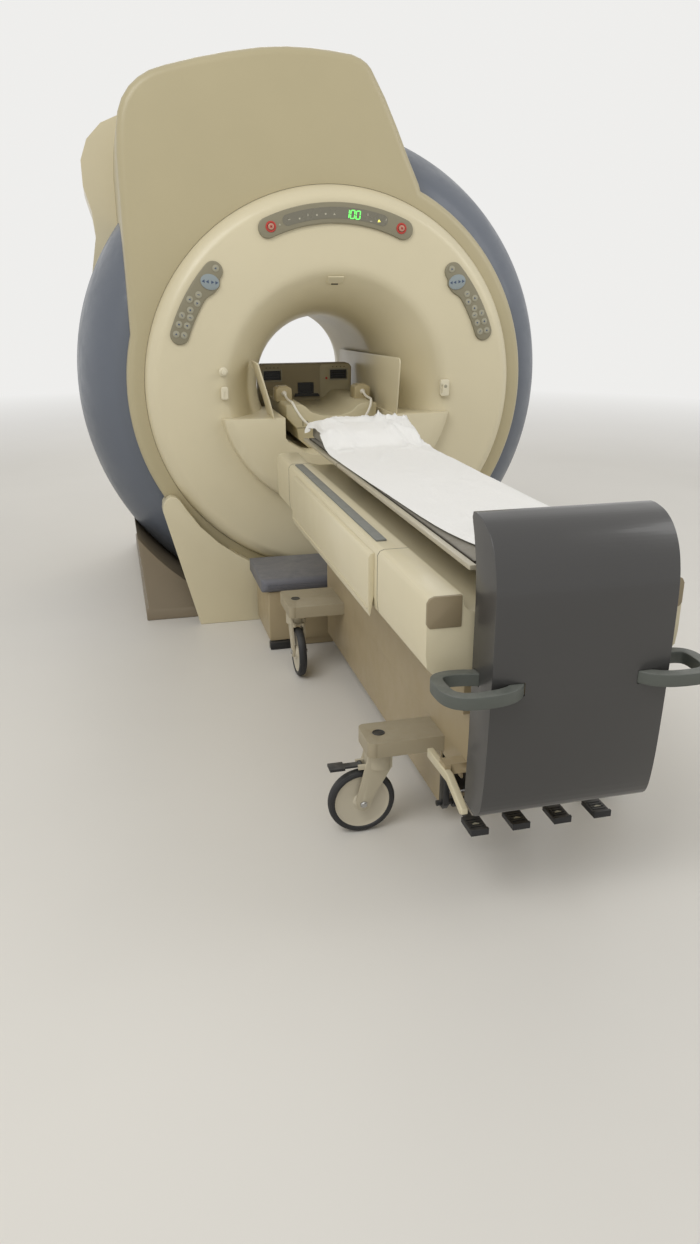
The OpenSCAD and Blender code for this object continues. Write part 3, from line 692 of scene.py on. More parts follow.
def make_crown():
    """The leaning crown with its ring round the bezel, hollow behind."""
    start = math.degrees(math.atan2(CROWN_FOOT - AXIS, CROWN_LEFT))
    end = 360 + math.degrees(math.atan2(CROWN_END, CROWN_TOP[0][0]))
    around = round_outline((0, AXIS), RIM, start, end, 150)
    crown = plate("crown_cover_moulding", CROWN_TOP + around[1:-1], CROWN_FRONT, CROWN_BACK)
    bevel_ring(crown, lambda p: p.y < CROWN_FRONT + 0.0001, 0.034, 6)
    cut(crown,
        plate("hollow", shrunk(CROWN_TOP, CROWN_MIDDLE) + [(-0.866, 1.0), (0.380, 1.0)],
              -0.699, 0.1),
        block("under", (-1.3, -0.6999, 0.0), (1.3, 0.2, 1.300)),
        block("side", (-0.871, -0.6999, 0.0), (1.3, 0.2, 1.860)),
        cylinder("seat", SEAT, -0.8, -0.69))
    dress(crown, "crown", "gantry", "crown_cover")


def make_bezel(side, name, node):
    """The round front or rear moulding, its flare and its rolled edge in one section."""
    piece = turned(name, profile(FLARE, side) + profile(EDGE, side) + section(BEZEL_IN, side),
                   steps=ROUND)
    return dress(piece, "covers", "gantry", node, angle=24)


def make_shell(side, node):
    """A barrel skin, cut off under the crown, in the middle and above the floor."""
    inner = section(BARREL_IN)
    shell = turned(node + "_moulding", profile(BARREL, -1, 2) + inner, steps=ROUND)
    floor = block("floor", (-1.4, -1, -0.2), (1.4, 1, SHELL_FLOOR))
    if side < 0:
        half = block("half", (-0.030, -1, 0), (1.4, 1, 2.5))
        top = block("top", (-0.8803, -1, 1.290), (0.1, 1, 2.5))
    else:
        half = block("half", (-1.4, -1, 0), (0.030, 1, 2.5))
        top = plate("top", mm([(0, 2400), (140, 2400), (180, 2336), (240, 2234), (298, 2117),
                               (349, 2006), (397, 1910), (404, 1880), (402, 1846), (380, 1700),
                               (0, 1700)]), -0.9, 0.06)
    cut(shell, half, floor, top)
    soften(shell, 0.0025, 2, 50)
    dress(shell, "shell", "gantry", node)


def make_rear_cover():
    """The guessed rear cover, with the bulge of the service turret on its left."""
    drop = SHELL_FLOOR - AXIS
    low = math.degrees(math.atan2(REAR_TOP[-1][1] - AXIS, REAR_TOP[-1][0]))
    base = math.degrees(math.atan2(drop, -math.sqrt(SHELL_R ** 2 - drop ** 2)))
    left = round_outline((0, AXIS), SHELL_R, low, 360 + base, 30)
    right = [(-x, z) for x, z in reversed(left)]
    outline = REAR_TOP + left + right
    cover = plate("rear_cover_moulding", outline, 0.0583, 0.772)
    bevel_ring(cover, lambda p: p.y > 0.7719 and p.z > 0.07, 0.045, 6)
    cut(cover, plate("hollow", shrunk(outline, (0, AXIS)), 0.0663, 0.720),
        cylinder("seat", SEAT, 0.70, 0.80), cylinder("bore", 0.890, 0.05, 0.07),
        block("feet", (-0.540, 0.050, 0.0), (0.540, 0.760, 0.100)))
    dress(cover, "covers", "gantry", "rear_cover")


def make_gantry():
    """The covers, the bore liner and the dark rings of painted shade in the grooves round the
    bezels.
    """
    make_crown()
    make_bezel(-1, "front_bezel_moulding", "front_bezel")
    make_bezel(1, "rear_bezel_moulding", "rear_bezel")
    make_shell(-1, "side_shell_left")
    make_shell(1, "side_shell_right")
    make_rear_cover()
    liner = turned("bore_liner_tube", [(-0.3997, 0.300), (0.3997, 0.300), (0.3997, 0.306),
                                       (-0.3997, 0.306)], steps=ROUND)
    dress(liner, "liner", "gantry", "bore_liner")
    for side, name in ((-1, "front"), (1, "rear")):
        # a dark ring set in the groove between each bezel and its cover: painted shade of the
        # groove
        ledge_painted_shadow = turned(f"bezel_groove_painted_shade_{name}", section([(836.8, 765.5), (838.3, 765.5),
                                                     (838.3, 760), (836.8, 760)], side),
                      steps=ROUND)
        dress(ledge_painted_shadow, "ledge_painted_shadow", "gantry", slot="covers")
    for side in ("left", "right"):
        worked(f"foot_cover_{side}", f"foot_cover_{side}_moulding", 0.010, 4, angle=50)
        worked(f"side_guard_{side}", f"side_guard_{side}_board", 0.0018)
    worked("pedestal", "pedestal_frame", 0.004)
    worked("dock_pod", "dock_pod_moulding", 0.006, 3)
    worked("bore_bridge", "bore_bridge_rails", 0.0015)


make_gantry()


# display and keypads
def band_outline(start, end, width, lobe=lambda a: 0.0, steps=40):
    """A band along the round face with rounded ends, wider inwards where the lobe says."""
    half = width / 2
    outer = [on_face(BAND + half, start + (end - start) * i / steps) for i in range(steps + 1)]
    tip = on_face(BAND, end)
    cap = [(tip[0] + half * math.cos(math.radians(end + t)),
            tip[1] + half * math.sin(math.radians(end + t))) for t in range(12, 180, 12)]
    inner = [on_face(BAND - half - lobe(a), a)
             for a in (end + (start - end) * i / steps for i in range(steps + 1))]
    tip = on_face(BAND, start)
    last = [(tip[0] + half * math.cos(math.radians(start + t)),
             tip[1] + half * math.sin(math.radians(start + t))) for t in range(192, 360, 12)]
    return outer + cap + inner + last


def disc(name, x, z, radius, near, far, sides=32, ease=0.0):
    piece = cylinder(name, radius, near, far, (x, z), sides)
    if ease:
        soften(piece, ease, 2)
    return piece


def mark(name, x, z, points, near, turn=0.0, size=1.0):
    """A small printed mark, a hair proud of what it is printed on."""
    c, s = math.cos(turn), math.sin(turn)
    return plate(name, [(x + size * (a * c - b * s), z + size * (a * s + b * c))
                        for a, b in points], near - 0.0004, near)


ARROW = [(-0.006, -0.004), (0.006, -0.004), (0.0, 0.006)]
BAR = [(-0.006, -0.0018), (0.006, -0.0018), (0.006, 0.0018), (-0.006, 0.0018)]
SQUARE = [(-0.004, -0.004), (0.004, -0.004), (0.004, 0.004), (-0.004, 0.004)]
SEGMENTS = {"a": ((-0.007, 0.0155), (0.007, 0.0155)), "b": ((0.0085, 0.0145), (0.0085, 0.0015)),
            "c": ((0.0085, -0.0015), (0.0085, -0.0145)), "d": ((-0.007, -0.0155), (0.007, -0.0155)),
            "e": ((-0.0085, -0.0015), (-0.0085, -0.0145)),
            "f": ((-0.0085, 0.0145), (-0.0085, 0.0015))}


def make_digit(name, x, z, lit, near, lean=0.12):
    parts = []
    for key in lit:
        (ax, az), (bx, bz) = SEGMENTS[key]
        across = (0.0015, 0) if ax == bx else (0, 0.0015)
        quad = [(ax - across[0], az - across[1]), (bx - across[0], bz - across[1]),
                (bx + across[0], bz + across[1]), (ax + across[0], az + across[1])]
        parts.append(mark("segment", x, z, [(a + lean * b, b) for a, b in quad], near))
    return joined(name, *parts)


def make_display():
    """The panel over the bore: window, readout, marks and the two stop buttons."""
    panel = plate("display_panel_face", band_outline(66, 114, 0.082), PANEL_FRONT, FACE)
    bevel_ring(panel, lambda p: p.y < PANEL_FRONT + 0.0001, 0.004, 3)
    holes = []
    for side in (-1, 1):
        x, z = on_face(BAND, 90 - side * STOP_TURN)
        holes.append(cylinder("hole", 0.0136, -0.86, -0.83, (x, z), 48))
    cut(panel, *holes)
    dress(panel, "panel", "gantry", "display_panel")
    window = plate("display_window", band_outline(74, 107, 0.044), -0.8512, -0.8498)
    dress(window, "window", "gantry", slot="panel")
    for number, (angle, lit) in enumerate(((86.6, "bc"), (84.7, "abcdef"), (82.8, "abcdef"))):
        x, z = on_face(0.719, angle)
        digit = make_digit(f"readout_digit_{number + 1}", x, z, lit, READOUT)
        dress(digit, "green_lamp", "gantry", slot="panel")
    marks = []
    for angle, radius, shape, turn in ((110, 0.716, ARROW, 0), (106.5, 0.722, BAR, 0.3),
                                       (103, 0.715, SQUARE, 0.2), (100, 0.722, BAR, 1.6),
                                       (97, 0.717, SQUARE, 0.1), (94, 0.718, SQUARE, 0.1),
                                       (91, 0.716, ARROW, 0), (79.5, 0.728, BAR, 1.5),
                                       (78, 0.706, BAR, 0), (73, 0.729, BAR, 1.2)):
        x, z = on_face(radius, angle)
        marks.append(mark("mark", x, z, shape, -0.8513, turn, 0.8))
    dress(joined("display_marks", *marks), "pale_ink", "gantry", slot="panel")
    x, z = on_face(0.716, 75.3)
    dress(mark("caution_mark", x, z, ARROW, READOUT, 0.1, 1.1), "yellow_lamp", "gantry",
          slot="panel")
    for side, name in SIDES:
        x, z = on_face(BAND, 90 - side * STOP_TURN)
        ring = turned(f"stop_ring_{name}", mm([(-853.2, 15.5), (-853.2, 20.5), (-849.8, 22.5),
                                               (-849.8, 14.2), (-852, 14.2)]),
                      centre=(x, 0, z), steps=48)
        dress(ring, "stop", "gantry", slot="stop")
        worked(f"stop_button_{name}", f"stop_button_{name}_cap", 0.0012, kind="rose")
        cross = [mark("spoke", x, z, BAR, -0.8584, t) for t in (0.785, -0.785)]
        dress(joined(f"stop_mark_{name}", *cross), "stop", body_of[f"stop_button_{name}"],
              slot="stop")


KEYS = [(0.722, 44.2, ARROW, 0.5), (0.716, 34.0, BAR, 0.2), (0.738, 31.2, ARROW, -1.5),
        (0.704, 31.4, ARROW, 1.5), (0.717, 28.3, SQUARE, 0.3), (0.739, 25.6, BAR, 1.2),
        (0.705, 26.1, BAR, 0.4), (0.738, 22.6, SQUARE, 0.8), (0.705, 23.2, ARROW, 3.0),
        (0.737, 19.4, ARROW, 0.0), (0.705, 19.9, BAR, 0.9)]


def lobe(angle):
    """How far the keypad widens inwards round its oval key."""
    t = max(0.0, min(1.0, (angle - 33.5) / 5.0))
    back = max(0.0, min(1.0, (43.0 - angle) / 2.6))
    return 0.018 * t * t * (3 - 2 * t) * back * back * (3 - 2 * back)


def make_keypad(side, name):
    """One keypad: its face, its round keys and the oval travel key."""
    pad = plate(f"keypad_{name}_face", flipped(band_outline(19.5, 43, 0.080, lobe), side),
                -0.848, FACE)
    bevel_ring(pad, lambda p: p.y < -0.8479, 0.0045, 3)
    dress(pad, "panel", "gantry", f"keypad_{name}")
    caps, icons = [], []
    for radius, angle, shape, turn in KEYS:
        x, z = on_face(radius, angle)
        caps.append(disc("cap", side * x, z, 0.0140, -0.8502, -0.8476, 28, 0.001))
        icons.append(mark("icon", side * x, z, shape, -0.8501, side * turn, 0.85))
    dress(joined(f"keypad_{name}_keys", *caps), "button", "gantry", slot="panel")
    x, z = on_face(0.706, 39.6)
    oval = disc("oval", 0, 0, 0.03, -0.8518, -0.8476, 48, 0.0015)
    for vertex in oval.data.vertices:
        a, b = vertex.co.x * 1.30, vertex.co.z * 1.05
        vertex.co.x, vertex.co.z = side * x + a, z + b + side * 0.12 * a
    dress(oval, "oval", "gantry", slot="panel")
    oval.name = f"keypad_{name}_travel_key"
    for shift, turn in ((-0.027, 1.57), (-0.010, 1.57), (0.010, -1.57), (0.027, -1.57)):
        icons.append(mark("icon", side * x + shift, z + side * 0.12 * shift, ARROW, -0.8517,
                          turn, 1.2))
    dress(joined(f"keypad_{name}_icons", *icons), "ink", "gantry", slot="panel")


def tile(name, low, high, corner, near, far):
    """A plate with round corners on the front face."""
    (left, bottom), (right, top) = low, high
    corners = ((right - corner, top - corner, 0), (left + corner, top - corner, 90),
               (left + corner, bottom + corner, 180), (right - corner, bottom + corner, 270))
    return plate(name, [point for x, z, start in corners
                        for point in round_outline((x, z), corner, start, start + 90, 5)],
                 near, far)


def make_fittings():
    """The small socket on the left of the bore and the call box on its right."""
    socket = tile("wall_socket_body", (-0.520, AXIS - 0.030), (-0.488, AXIS + 0.026), 0.010,
                  -0.858, FACE)
    soften(socket, 0.005, 3, 40)
    cut(socket, block("slot", (-0.508, -0.87, AXIS - 0.018), (-0.500, -0.856, AXIS + 0.006)))
    dress(socket, "fitting", "gantry", "wall_socket")
    box = tile("call_box_body", (0.478, AXIS - 0.042), (0.522, AXIS + 0.034), 0.011,
               -0.862, FACE)
    soften(box, 0.005, 3, 40)
    cut(box, tile("slot", (0.4820, AXIS - 0.026), (0.4895, AXIS + 0.013), 0.0035, -0.87, -0.8575))
    dress(box, "fitting", "gantry", "call_box")
    x, z = 0.503, AXIS + 0.004
    dress(disc("call_box_key", x, z, 0.0075, -0.8632, -0.8605, 28, 0.001), "button", "gantry",
          slot="fitting")


def make_controls():
    """All that sits on the front face, and the marks of the alignment light."""
    make_display()
    make_keypad(-1, "left")
    make_keypad(1, "right")
    worked("alignment_light", "alignment_light_body", 0.002, kind="covers")
    worked("gas_valve", "gas_valve_body", 0.0035, 3)
    make_fittings()
    seat = Vector((0, -0.8064, AXIS + 0.4625))
    slot_mark = block("alignment_slot", (-0.015, 0.0195, -0.0006), (0.015, 0.0265, 0.0006))
    frame_mark = block("alignment_frame", (-0.030, -0.016, -0.0006), (0.030, 0.010, 0.0006))
    for piece, kind, lift in ((slot_mark, "black", -0.0071), (frame_mark, "liner", -0.0073)):
        for vertex in piece.data.vertices:
            x, a, b = vertex.co
            t = math.radians(-43)
            vertex.co = (x, seat.y + a * math.cos(t) - (b + lift) * math.sin(t),
                         seat.z + a * math.sin(t) + (b + lift) * math.cos(t))
        dress(piece, kind, "gantry", slot="fitting")


make_controls()


# coil carriage in the bore
HOUSING = both(mm([(110, 785.4), (184, 845), (228, 892), (241, 918), (244, 1092), (242, 1101),
                   (236, 1109), (230, 1114), (222, 1117)]))
SLED = both(mm([(110, 785.4), (158, 828), (166, 878), (212, 926), (215, 978), (208, 985),
                (140, 985), (122, 974), (96, 950), (50, 934), (0, 930)]))
DUCT, DUCT_UP = 0.020, (0.78, 0.867)     # half width and height of the sled's duct
PLUG = both(mm([(33, -37), (39, -33), (39, 15), (36, 24), (29, 30), (22, 32)]))


def make_socket(side, name):
    """The framed socket on the board, three black bars behind its rim."""
    x = side * SOCKET_X
    rim = span(f"coil_socket_{name}_rim", x, 0.051, (-0.1428, -0.1385), (1.031, 1.091))
    cut(rim, span("gap", x, 0.0445, (-0.15, -0.13), (1.0375, 1.0845)))
    soften(rim, 0.0012)
    core = span("core", x, 0.043, (-0.1335, -0.1275), (1.039, 1.083))
    bars = [span("bar", x, 0.034, (-0.1395, -0.133), (z - 0.0035, z + 0.0035))
            for z in (1.049, 1.061, 1.073)]
    dress(rim, "button", "carriage", slot="carriage")
    dress(joined(f"coil_socket_{name}_core", core, *bars), "black", "carriage", slot="carriage")


def make_plug(side, name):
    """The plug on the sled's shoulder, with its grip and the boot of its cable."""
    x = side * PLUG_X
    plug = plate(f"coil_plug_{name}", [(x + a, 1.015 + b) for a, b in PLUG], -0.5595, -0.4705)
    soften(plug, 0.006, 3, 40)
    grip = span("grip", x, 0.022, (-0.548, -0.498), (1.044, 1.0505))
    soften(grip, 0.0025)
    dress(joined(f"coil_plug_{name}", plug, grip), "plug", "carriage", slot="coil_base")
    boot = turned(f"coil_cable_{name}_boot",
                  mm([(-559, 0), (-559, 12.5), (-564, 12), (-572, 9), (-579, 7.2), (-579, 0)]),
                  (x, 0, LEFT_RUN[0][2]), steps=32)
    dress(boot, "cable", "carriage", slot="cable")


def make_housing():
    """The board that closes the carriage at its far end, with the sockets' panel."""
    housing = plate("coil_carriage_housing", HOUSING, -0.140, -0.060)
    soften(housing, 0.004, 3, 40)
    cut(housing, span("back", 0, 0.190, (-0.120, -0.04), (0.900, 1.090)),
        span("duct", 0, DUCT, (-0.16, -0.04), DUCT_UP),
        span("tray", 0, 0.042, (-0.16, -0.130), (0.968, 1.024)),
        *[span("recess", s * SOCKET_X, 0.046, (-0.16, -0.128), (1.036, 1.086)) for s in (-1, 1)])
    dress(housing, "carriage", "carriage", "coil_carriage")
    panel = plate("coil_carriage_panel",
                  mm([(75, 936), (86, 925), (227, 925), (238, 936), (238, 1101), (227, 1112),
                      (86, 1112), (75, 1101)]), -0.1425, -0.1398)
    cut(panel, block("socket", (0.125, -0.16, 1.033), (0.223, -0.13, 1.089)))
    soften(panel, 0.001)
    dress(panel, "carriage_panel", "carriage", slot="carriage")
    marks = []
    for side, name in SIDES:
        make_socket(side, name)
        make_plug(side, name)
        marks += [mark("pin", side * SOCKET_X + dx, 1.0995, SQUARE, -0.1428, 0, 0.55)
                  for dx in (-0.03, -0.01, 0.01, 0.03)]
    dress(joined("coil_socket_marks", *marks), "black", "carriage", slot="carriage")


def make_connector():
    """The dark well in the middle of the board, and the lamp that shows it is ready."""
    well = span("coil_connector_well", 0, 0.041, (-0.146, -0.1305), (0.969, 1.023))
    cut(well, span("gap", 0, 0.033, (-0.16, -0.136), (0.977, 1.015)))
    wedge = plate("wedge", mm([(-62, 955), (70, 955), (62, 969), (-56, 969)]), -0.156, -0.1395)
    dress(joined("coil_connector_well", well, wedge), "black", "carriage", slot="carriage")
    dress(disc("coil_ready_lamp", 0.109, 1.043, 0.006, -0.1455, -0.1420, 20, 0.001), "stop",
          "carriage", slot="stop")


def make_sled():
    """The saddle-shaped base that runs on the bridge, seams and latches on its front."""
    base = plate("coil_base_moulding", SLED, -0.728, -0.1403)
    soften(base, 0.0045, 3, 40)
    cut(base, span("duct", 0, DUCT, (-0.75, -0.12), DUCT_UP),
        *[span("seat", s * 0.070, 0.014, (-0.75, -0.712), (0.859, 0.873)) for s in (-1, 1)])
    dress(base, "coil_base", "carriage", "coil_base")
    parts = [span("ledge_painted_shadow", 0, 0.163, (-0.7284, -0.7274), (0.8788, 0.8812))]
    for x in (-0.126, -0.011):
        parts += [span("latch", x, 0.0125, (-0.7286, -0.7274), (0.908, 0.911))]
        parts += [span("latch", x + d, 0.0013, (-0.7286, -0.7274), (0.888, 0.911))
                  for d in (-0.0112, 0.0112)]
    dress(joined("coil_base_marks", *parts), "ledge_painted_shadow", "carriage", slot="coil_base")


make_housing()
make_connector()
make_sled()


# floor anchor and chassis
def make_anchor():
    """The block on the floor that the table docks to, with its padded cap and feet."""
    base = copy_of("dock_anchor", "dock_anchor_base")
    cut(base, block("top", (-0.5, -1.3, 0.2615), (0.5, -0.8, 0.4)))
    soften(base, 0.008, 3)
    dress(base, "chassis", "gantry", "dock_anchor")
    cap = block("dock_anchor_cap", (-0.430, -1.240, 0.262), (0.430, -0.880, 0.322))
    bevel_ring(cap, lambda p: p.y < -1.239 and abs(p.x) > 0.429, 0.060, 6)
    soften(cap, 0.012, 3)
    dress(cap, "anchor", "gantry", slot="anchor")
    for side, name in SIDES:
        foot = span(f"dock_anchor_foot_{name}", side * 0.34, 0.06, (-1.232, -1.196), (0.0, 0.034))
        soften(foot, 0.004)
        dress(foot, "black", "gantry", slot="anchor")


def make_chassis():
    """The chassis, the shaft and lugs that carry the pedals, black for painted shade under the end
    shell, and the strut beside them.
    """
    frame = copy_of("table_chassis", "table_chassis_frame")
    cut(frame, block("lugs", (-0.4, -3.0, 0.16), (0.4, -2.8805, 0.2895)),
        block("shaft", (-0.4, -2.93, 0.18), (0.4, -2.87, 0.21)))
    soften(frame, 0.006, 3)
    dress(frame, "chassis", "chassis", "table_chassis")
    # the shaft and slimmer lugs take the black finish to stand in for the shade under the end
    # shell: painted shade
    parts = [cylinder("shaft", 0.008, -0.230, 0.230, (-2.900, 0.195), 48, "X")]
    for side in (-1, 1):
        lug = plate("lug", [(-2.925, 0.290), (-2.925, 0.200), (-2.912, 0.182), (-2.896, 0.182),
                            (-2.885, 0.200), (-2.885, 0.290)], side * 0.210 - 0.008,
                    side * 0.210 + 0.008, "side")
        soften(lug, 0.002)
        parts.append(lug)
    dress(joined("pedal_shaft_painted_shade", *parts), "black", "chassis", slot="chassis")
    strut = plate("pedal_strut", [(-2.790, 0.304), (-2.790, 0.276), (-2.945, 0.284),
                                  (-3.045, 0.248), (-3.060, 0.254), (-3.058, 0.270),
                                  (-2.950, 0.310)], -0.222, -0.204, "side")
    soften(strut, 0.003, 3)
    dress(strut, "covers", "chassis", slot="chassis")
    worked("lift_sleeve", "lift_sleeve_posts", 0.002)
    worked("lift_ram", "lift_ram_skirt", 0.004)


def make_outriggers():
    """The arms of the casters, with a black cap over each stem."""
    for end, y in STEM_Y.items():
        worked(f"outrigger_{end}", f"outrigger_{end}_arm", 0.006, 3)
        for side, name in SIDES:
            cap = turned(f"stem_cap_{end}_{name}",
                         mm([(309.6, 0), (309.6, 18), (311.2, 18), (312.2, 16.5), (310.6, 14),
                             (310.6, 0)]), (side * STEM_X, y, 0), "Z", 40)
            dress(cap, "black", "chassis", slot="outrigger")


make_anchor()
make_chassis()
make_outriggers()


# end shell and handles
SHELL_OUT = [(-3072, 306), (-3140, 300), (-3172, 330), (-3188, 420), (-3196, 560), (-3200, 720),
             (-3200, 850), (-3194, 905), (-3178, 955), (-3150, 995), (-3112, 1020), (-3070, 1030),
             (-3044, 1030), (-3040, 1018), (-3056, 980), (-3074, 920), (-3082, 840), (-3082, 500)]
SHELL_IN = [(-3060, 280), (-3132, 280), (-3164, 336), (-3180, 424), (-3188, 562), (-3192, 722),
            (-3192, 848), (-3186, 902), (-3171, 950), (-3145, 987), (-3109, 1011), (-3070, 1022),
            (-3053, 1022), (-3064, 980), (-3066, 920), (-3060, 840)]
HANDLE = mm([(172.4, -3124), (196, -3116), (236, -3106), (272, -3100), (300, -3102), (318, -3112),
             (326, -3130), (327, -3156), (325, -3186), (318, -3206), (304, -3220), (282, -3228),
             (240, -3229), (204, -3224), (176, -3212), (158, -3194), (151, -3180), (150, -3165.5)])


def handle_bar(name, side, between, half_wide, half_tall):
    """The bent grip, a rounded square bar that follows the handle line in plan."""
    line = through([(side * x, y, 0) for x, y in HANDLE], between)
    left, right = [], []
    for i, (x, y, _) in enumerate(line):
        (ax, ay, _), (bx, by, _) = line[max(i - 1, 0)], line[min(i + 1, len(line) - 1)]
        step = math.hypot(bx - ax, by - ay)
        nx, ny = -(by - ay) / step * half_wide, (bx - ax) / step * half_wide
        left.append((x + nx, y + ny))
        right.append((x - nx, y - ny))
    bar = plate(name, left + right[::-1], GRIP_Z - half_tall, GRIP_Z + half_tall, "top")
    soften(bar, 0.0065, 4, 40)
    return bar


def make_end_shell():
    """The tall shell at the table's end and the two bent handles that pass through it."""
    front = through([(y / 1000, z / 1000, 0) for y, z in SHELL_OUT[1:13]], 5)
    outline = [(SHELL_OUT[0][0] / 1000, SHELL_OUT[0][1] / 1000)]
    outline += [(y, z) for y, z, _ in front] + mm(SHELL_OUT[13:])
    shell = plate("end_shell_moulding", outline, -0.222, 0.222, "side")
    bevel_ring(shell, lambda p: abs(p.x) > 0.2219 and (p.y < -3.100 or p.z > 1.0), 0.012, 4)
    cut(shell, plate("hollow", mm(SHELL_IN), -0.214, 0.214, "side"),
        *[handle_bar("hole", side, 3, 0.0170, 0.0175) for side in (-1, 1)])
    dress(shell, "end_shell", "chassis", "end_shell")
    for side, name in SIDES:
        handle = handle_bar(f"push_handle_{name}_bar", side, 4, 0.0150, 0.0155)
        dress(handle, "handle", "chassis", f"push_handle_{name}", angle=60)


make_end_shell()


# casters, brakes and pedals
TYRE = both(mm([(-12.5, 81.2), (-15.2, 84.0), (-15.5, 91.0), (-12.5, 96.2), (-7.0, 98.8)]),
            [(0, 0.0996)])
HUB = both(mm([(-19.5, 6.6), (-19.5, 18.0), (-15.0, 23.0), (-9.0, 27.0), (-8.5, 70.0),
               (-10.0, 76.0), (-12.2, 81.1)]))
NUT = mm([(28.2, 0), (28.2, 11.5), (31.2, 11.0), (31.8, 8.0), (35.0, 7.5), (35.2, 0)])


def make_casters():
    """The front wheels are turned along the table and the rear ones across it."""
    for end in STEM_Y:
        for side, name in SIDES:
            if end == "front":
                centre, axis = (side * STEM_X, STEM_Y[end] - TRAIL, AXLE_Z), "X"
            else:
                centre, axis = (side * (STEM_X + TRAIL), STEM_Y[end], AXLE_Z), "Y"
            place = f"{end}_{name}"
            tyre = turned(f"wheel_{place}_tyre", TYRE, centre, axis, 96)
            dress(tyre, "wheel", body_of[f"wheel_{place}"], f"wheel_{place}")
            hub = turned(f"wheel_{place}_hub", HUB, centre, axis, 64)
            dress(hub, "hub", body_of[f"wheel_{place}"], slot="fork")
            fork = body_of[f"fork_{place}"]
            worked(f"fork_{place}", f"fork_{place}_casting", 0.003)
            for end_side, word in ((-1, "inner"), (1, "outer")):
                nut = turned(f"axle_nut_{place}_{word}", flipped(NUT, end_side), centre, axis, 6)
                dress(nut, "steel", fork, slot="fork")
    for name in ("left", "right"):
        worked(f"brake_lever_{name}", f"brake_lever_{name}_pad", 0.002)


def make_pedals():
    """Four pads in a row, each with ribs and a pale wedge for a mark."""
    for number, x in enumerate((-0.172, -0.058, 0.058, 0.172)):
        node = f"pedal_{number + 1}"
        worked(node, f"{node}_pad", 0.003)
        ribs = [span("rib", x, 0.018, (-3.060 + 0.011 * i, -3.055 + 0.011 * i),
                     (0.2048, 0.2068)) for i in range(5)]
        dress(joined(f"{node}_ribs", *ribs), "pedal", body_of[node])
        label = plate(f"{node}_mark", [(x + a, -3.036 + b) for a, b in
                      mm([(-9, -3), (9, -3), (9, 0), (0, 5), (-9, 0)])], 0.2069, 0.2072, "top")
        dress(label, "pale_ink", body_of[node], slot="pedal")


make_casters()
make_pedals()


# table top
RAIL_TOP = [(330, 824), (324, 835), (312, 840), (244, 840)]
RAIL_END = mm([(244, 762), (322, 762), (330, 772)] + RAIL_TOP)
RAIL = mm([(244, 800), (304, 640), (326, 664), (330, 700)] + RAIL_TOP)
PANEL_Y = (-2.612, -1.538)


def make_frame_and_panels():
    """The table top, its side panels and the grey strips on its rails."""
    worked("table_frame", "table_frame_moulding", 0.005, 3)
    worked("cradle", "cradle_tray", 0.003)
    for side, name in SIDES:
        worked(f"side_panel_{name}", f"side_panel_{name}_door", 0.003)
        strip = span(f"rail_strip_{name}", side * 0.296, 0.0150, (-2.5705, -1.4195),
                     (0.8400, 0.8452))
        soften(strip, 0.001)
        dress(strip, "strip", "table_top", slot="covers")
        ledge = span(f"side_panel_{name}_ledge", side * 0.3478, 0.0012, PANEL_Y, (0.6640, 0.6665))
        dress(ledge, "covers", "table_top", slot="covers")
        # a thin dark strip just under the ledge: painted shadow of the ledge
        shade = span(f"side_panel_{name}_seam", side * 0.3472, 0.0004, PANEL_Y, (0.6622, 0.6638))
        dress(shade, "ledge_painted_shadow", "table_top", slot="covers")


def make_rail_ends_and_seams():
    """The caps on the ends of the rails, darker than the mouldings for painted shade, and the
    joints where their mouldings meet.
    """
    for side, name in SIDES:
        # the end caps' darker beige stands in for the shade on the table's rear end: painted shade
        end = plate(f"rail_end_cap_painted_shade_{name}", [(side * (x + 0.0006), z + 0.0005)
                                             for x, z in RAIL_END], -3.0625, -3.052)
        soften(end, 0.003)
        dress(end, "cap", "table_top", slot="covers")
        round_rail = [(side * (x + 0.0004), z + 0.0003) for x, z in RAIL]
        for place, y in (("front", -1.385), ("rear", -2.652)):
            ledge_painted_shadow = plate(f"rail_seam_{place}_{name}", round_rail, y, y + 0.0022)
            dress(ledge_painted_shadow, "ledge_painted_shadow", "table_top", slot="covers")


def crowned(x, half, sag):
    """How far a padded top falls away towards its edges."""
    return sag * (abs(x) / half) ** 3


def make_pads():
    """The mattress, the wedge under the head and the piping along the mattress."""
    arc = [(0.2667 * math.sin(math.radians(t)), 1.075 - 0.2667 * math.cos(math.radians(t)))
           for t in range(-44, 45, 4)]
    top = [(0.194 - 0.388 * i / 24, 0.9042 - crowned(0.194 - 0.388 * i / 24, 0.194, 0.006))
           for i in range(25)]
    mattress = plate("mattress_pad", [(x, max(z, 0.808)) for x, z in arc] + top, -3.006, -1.134)
    soften(mattress, 0.006, 3, 40)
    dress(mattress, "pad", "cradle_body", "mattress")
    side_line = through([(-1.480, 0.9045, 0), (-1.430, 0.938, 0), (-1.380, 0.961, 0),
                         (-1.310, 0.9725, 0), (-1.200, 0.9735, 0), (-1.160, 0.966, 0),
                         (-1.142, 0.946, 0), (-1.138, 0.9045, 0)], 4)
    wedge = plate("head_pad_wedge", [(y, z) for y, z, _ in side_line], -0.180, 0.180, "side")
    soften(wedge, 0.007, 3, 40)
    dress(wedge, "pad", "cradle_body", "head_pad")
    for side, name in SIDES:
        line = [(side * 0.1935, y, 0.8975) for y in (-3.000, -2.4, -1.8, -1.142)]
        piping = to_mesh(poly_rod(f"mattress_piping_{name}", line, 0.0028))
        dress(piping, "ledge_painted_shadow", "cradle_body", slot="pad", angle=60)


# cotton sheet
SHEET_W = 0.436
CELLS_W, CELLS_L = 40, 170
SETTLED = 46      # frames that the sheet takes to come to rest


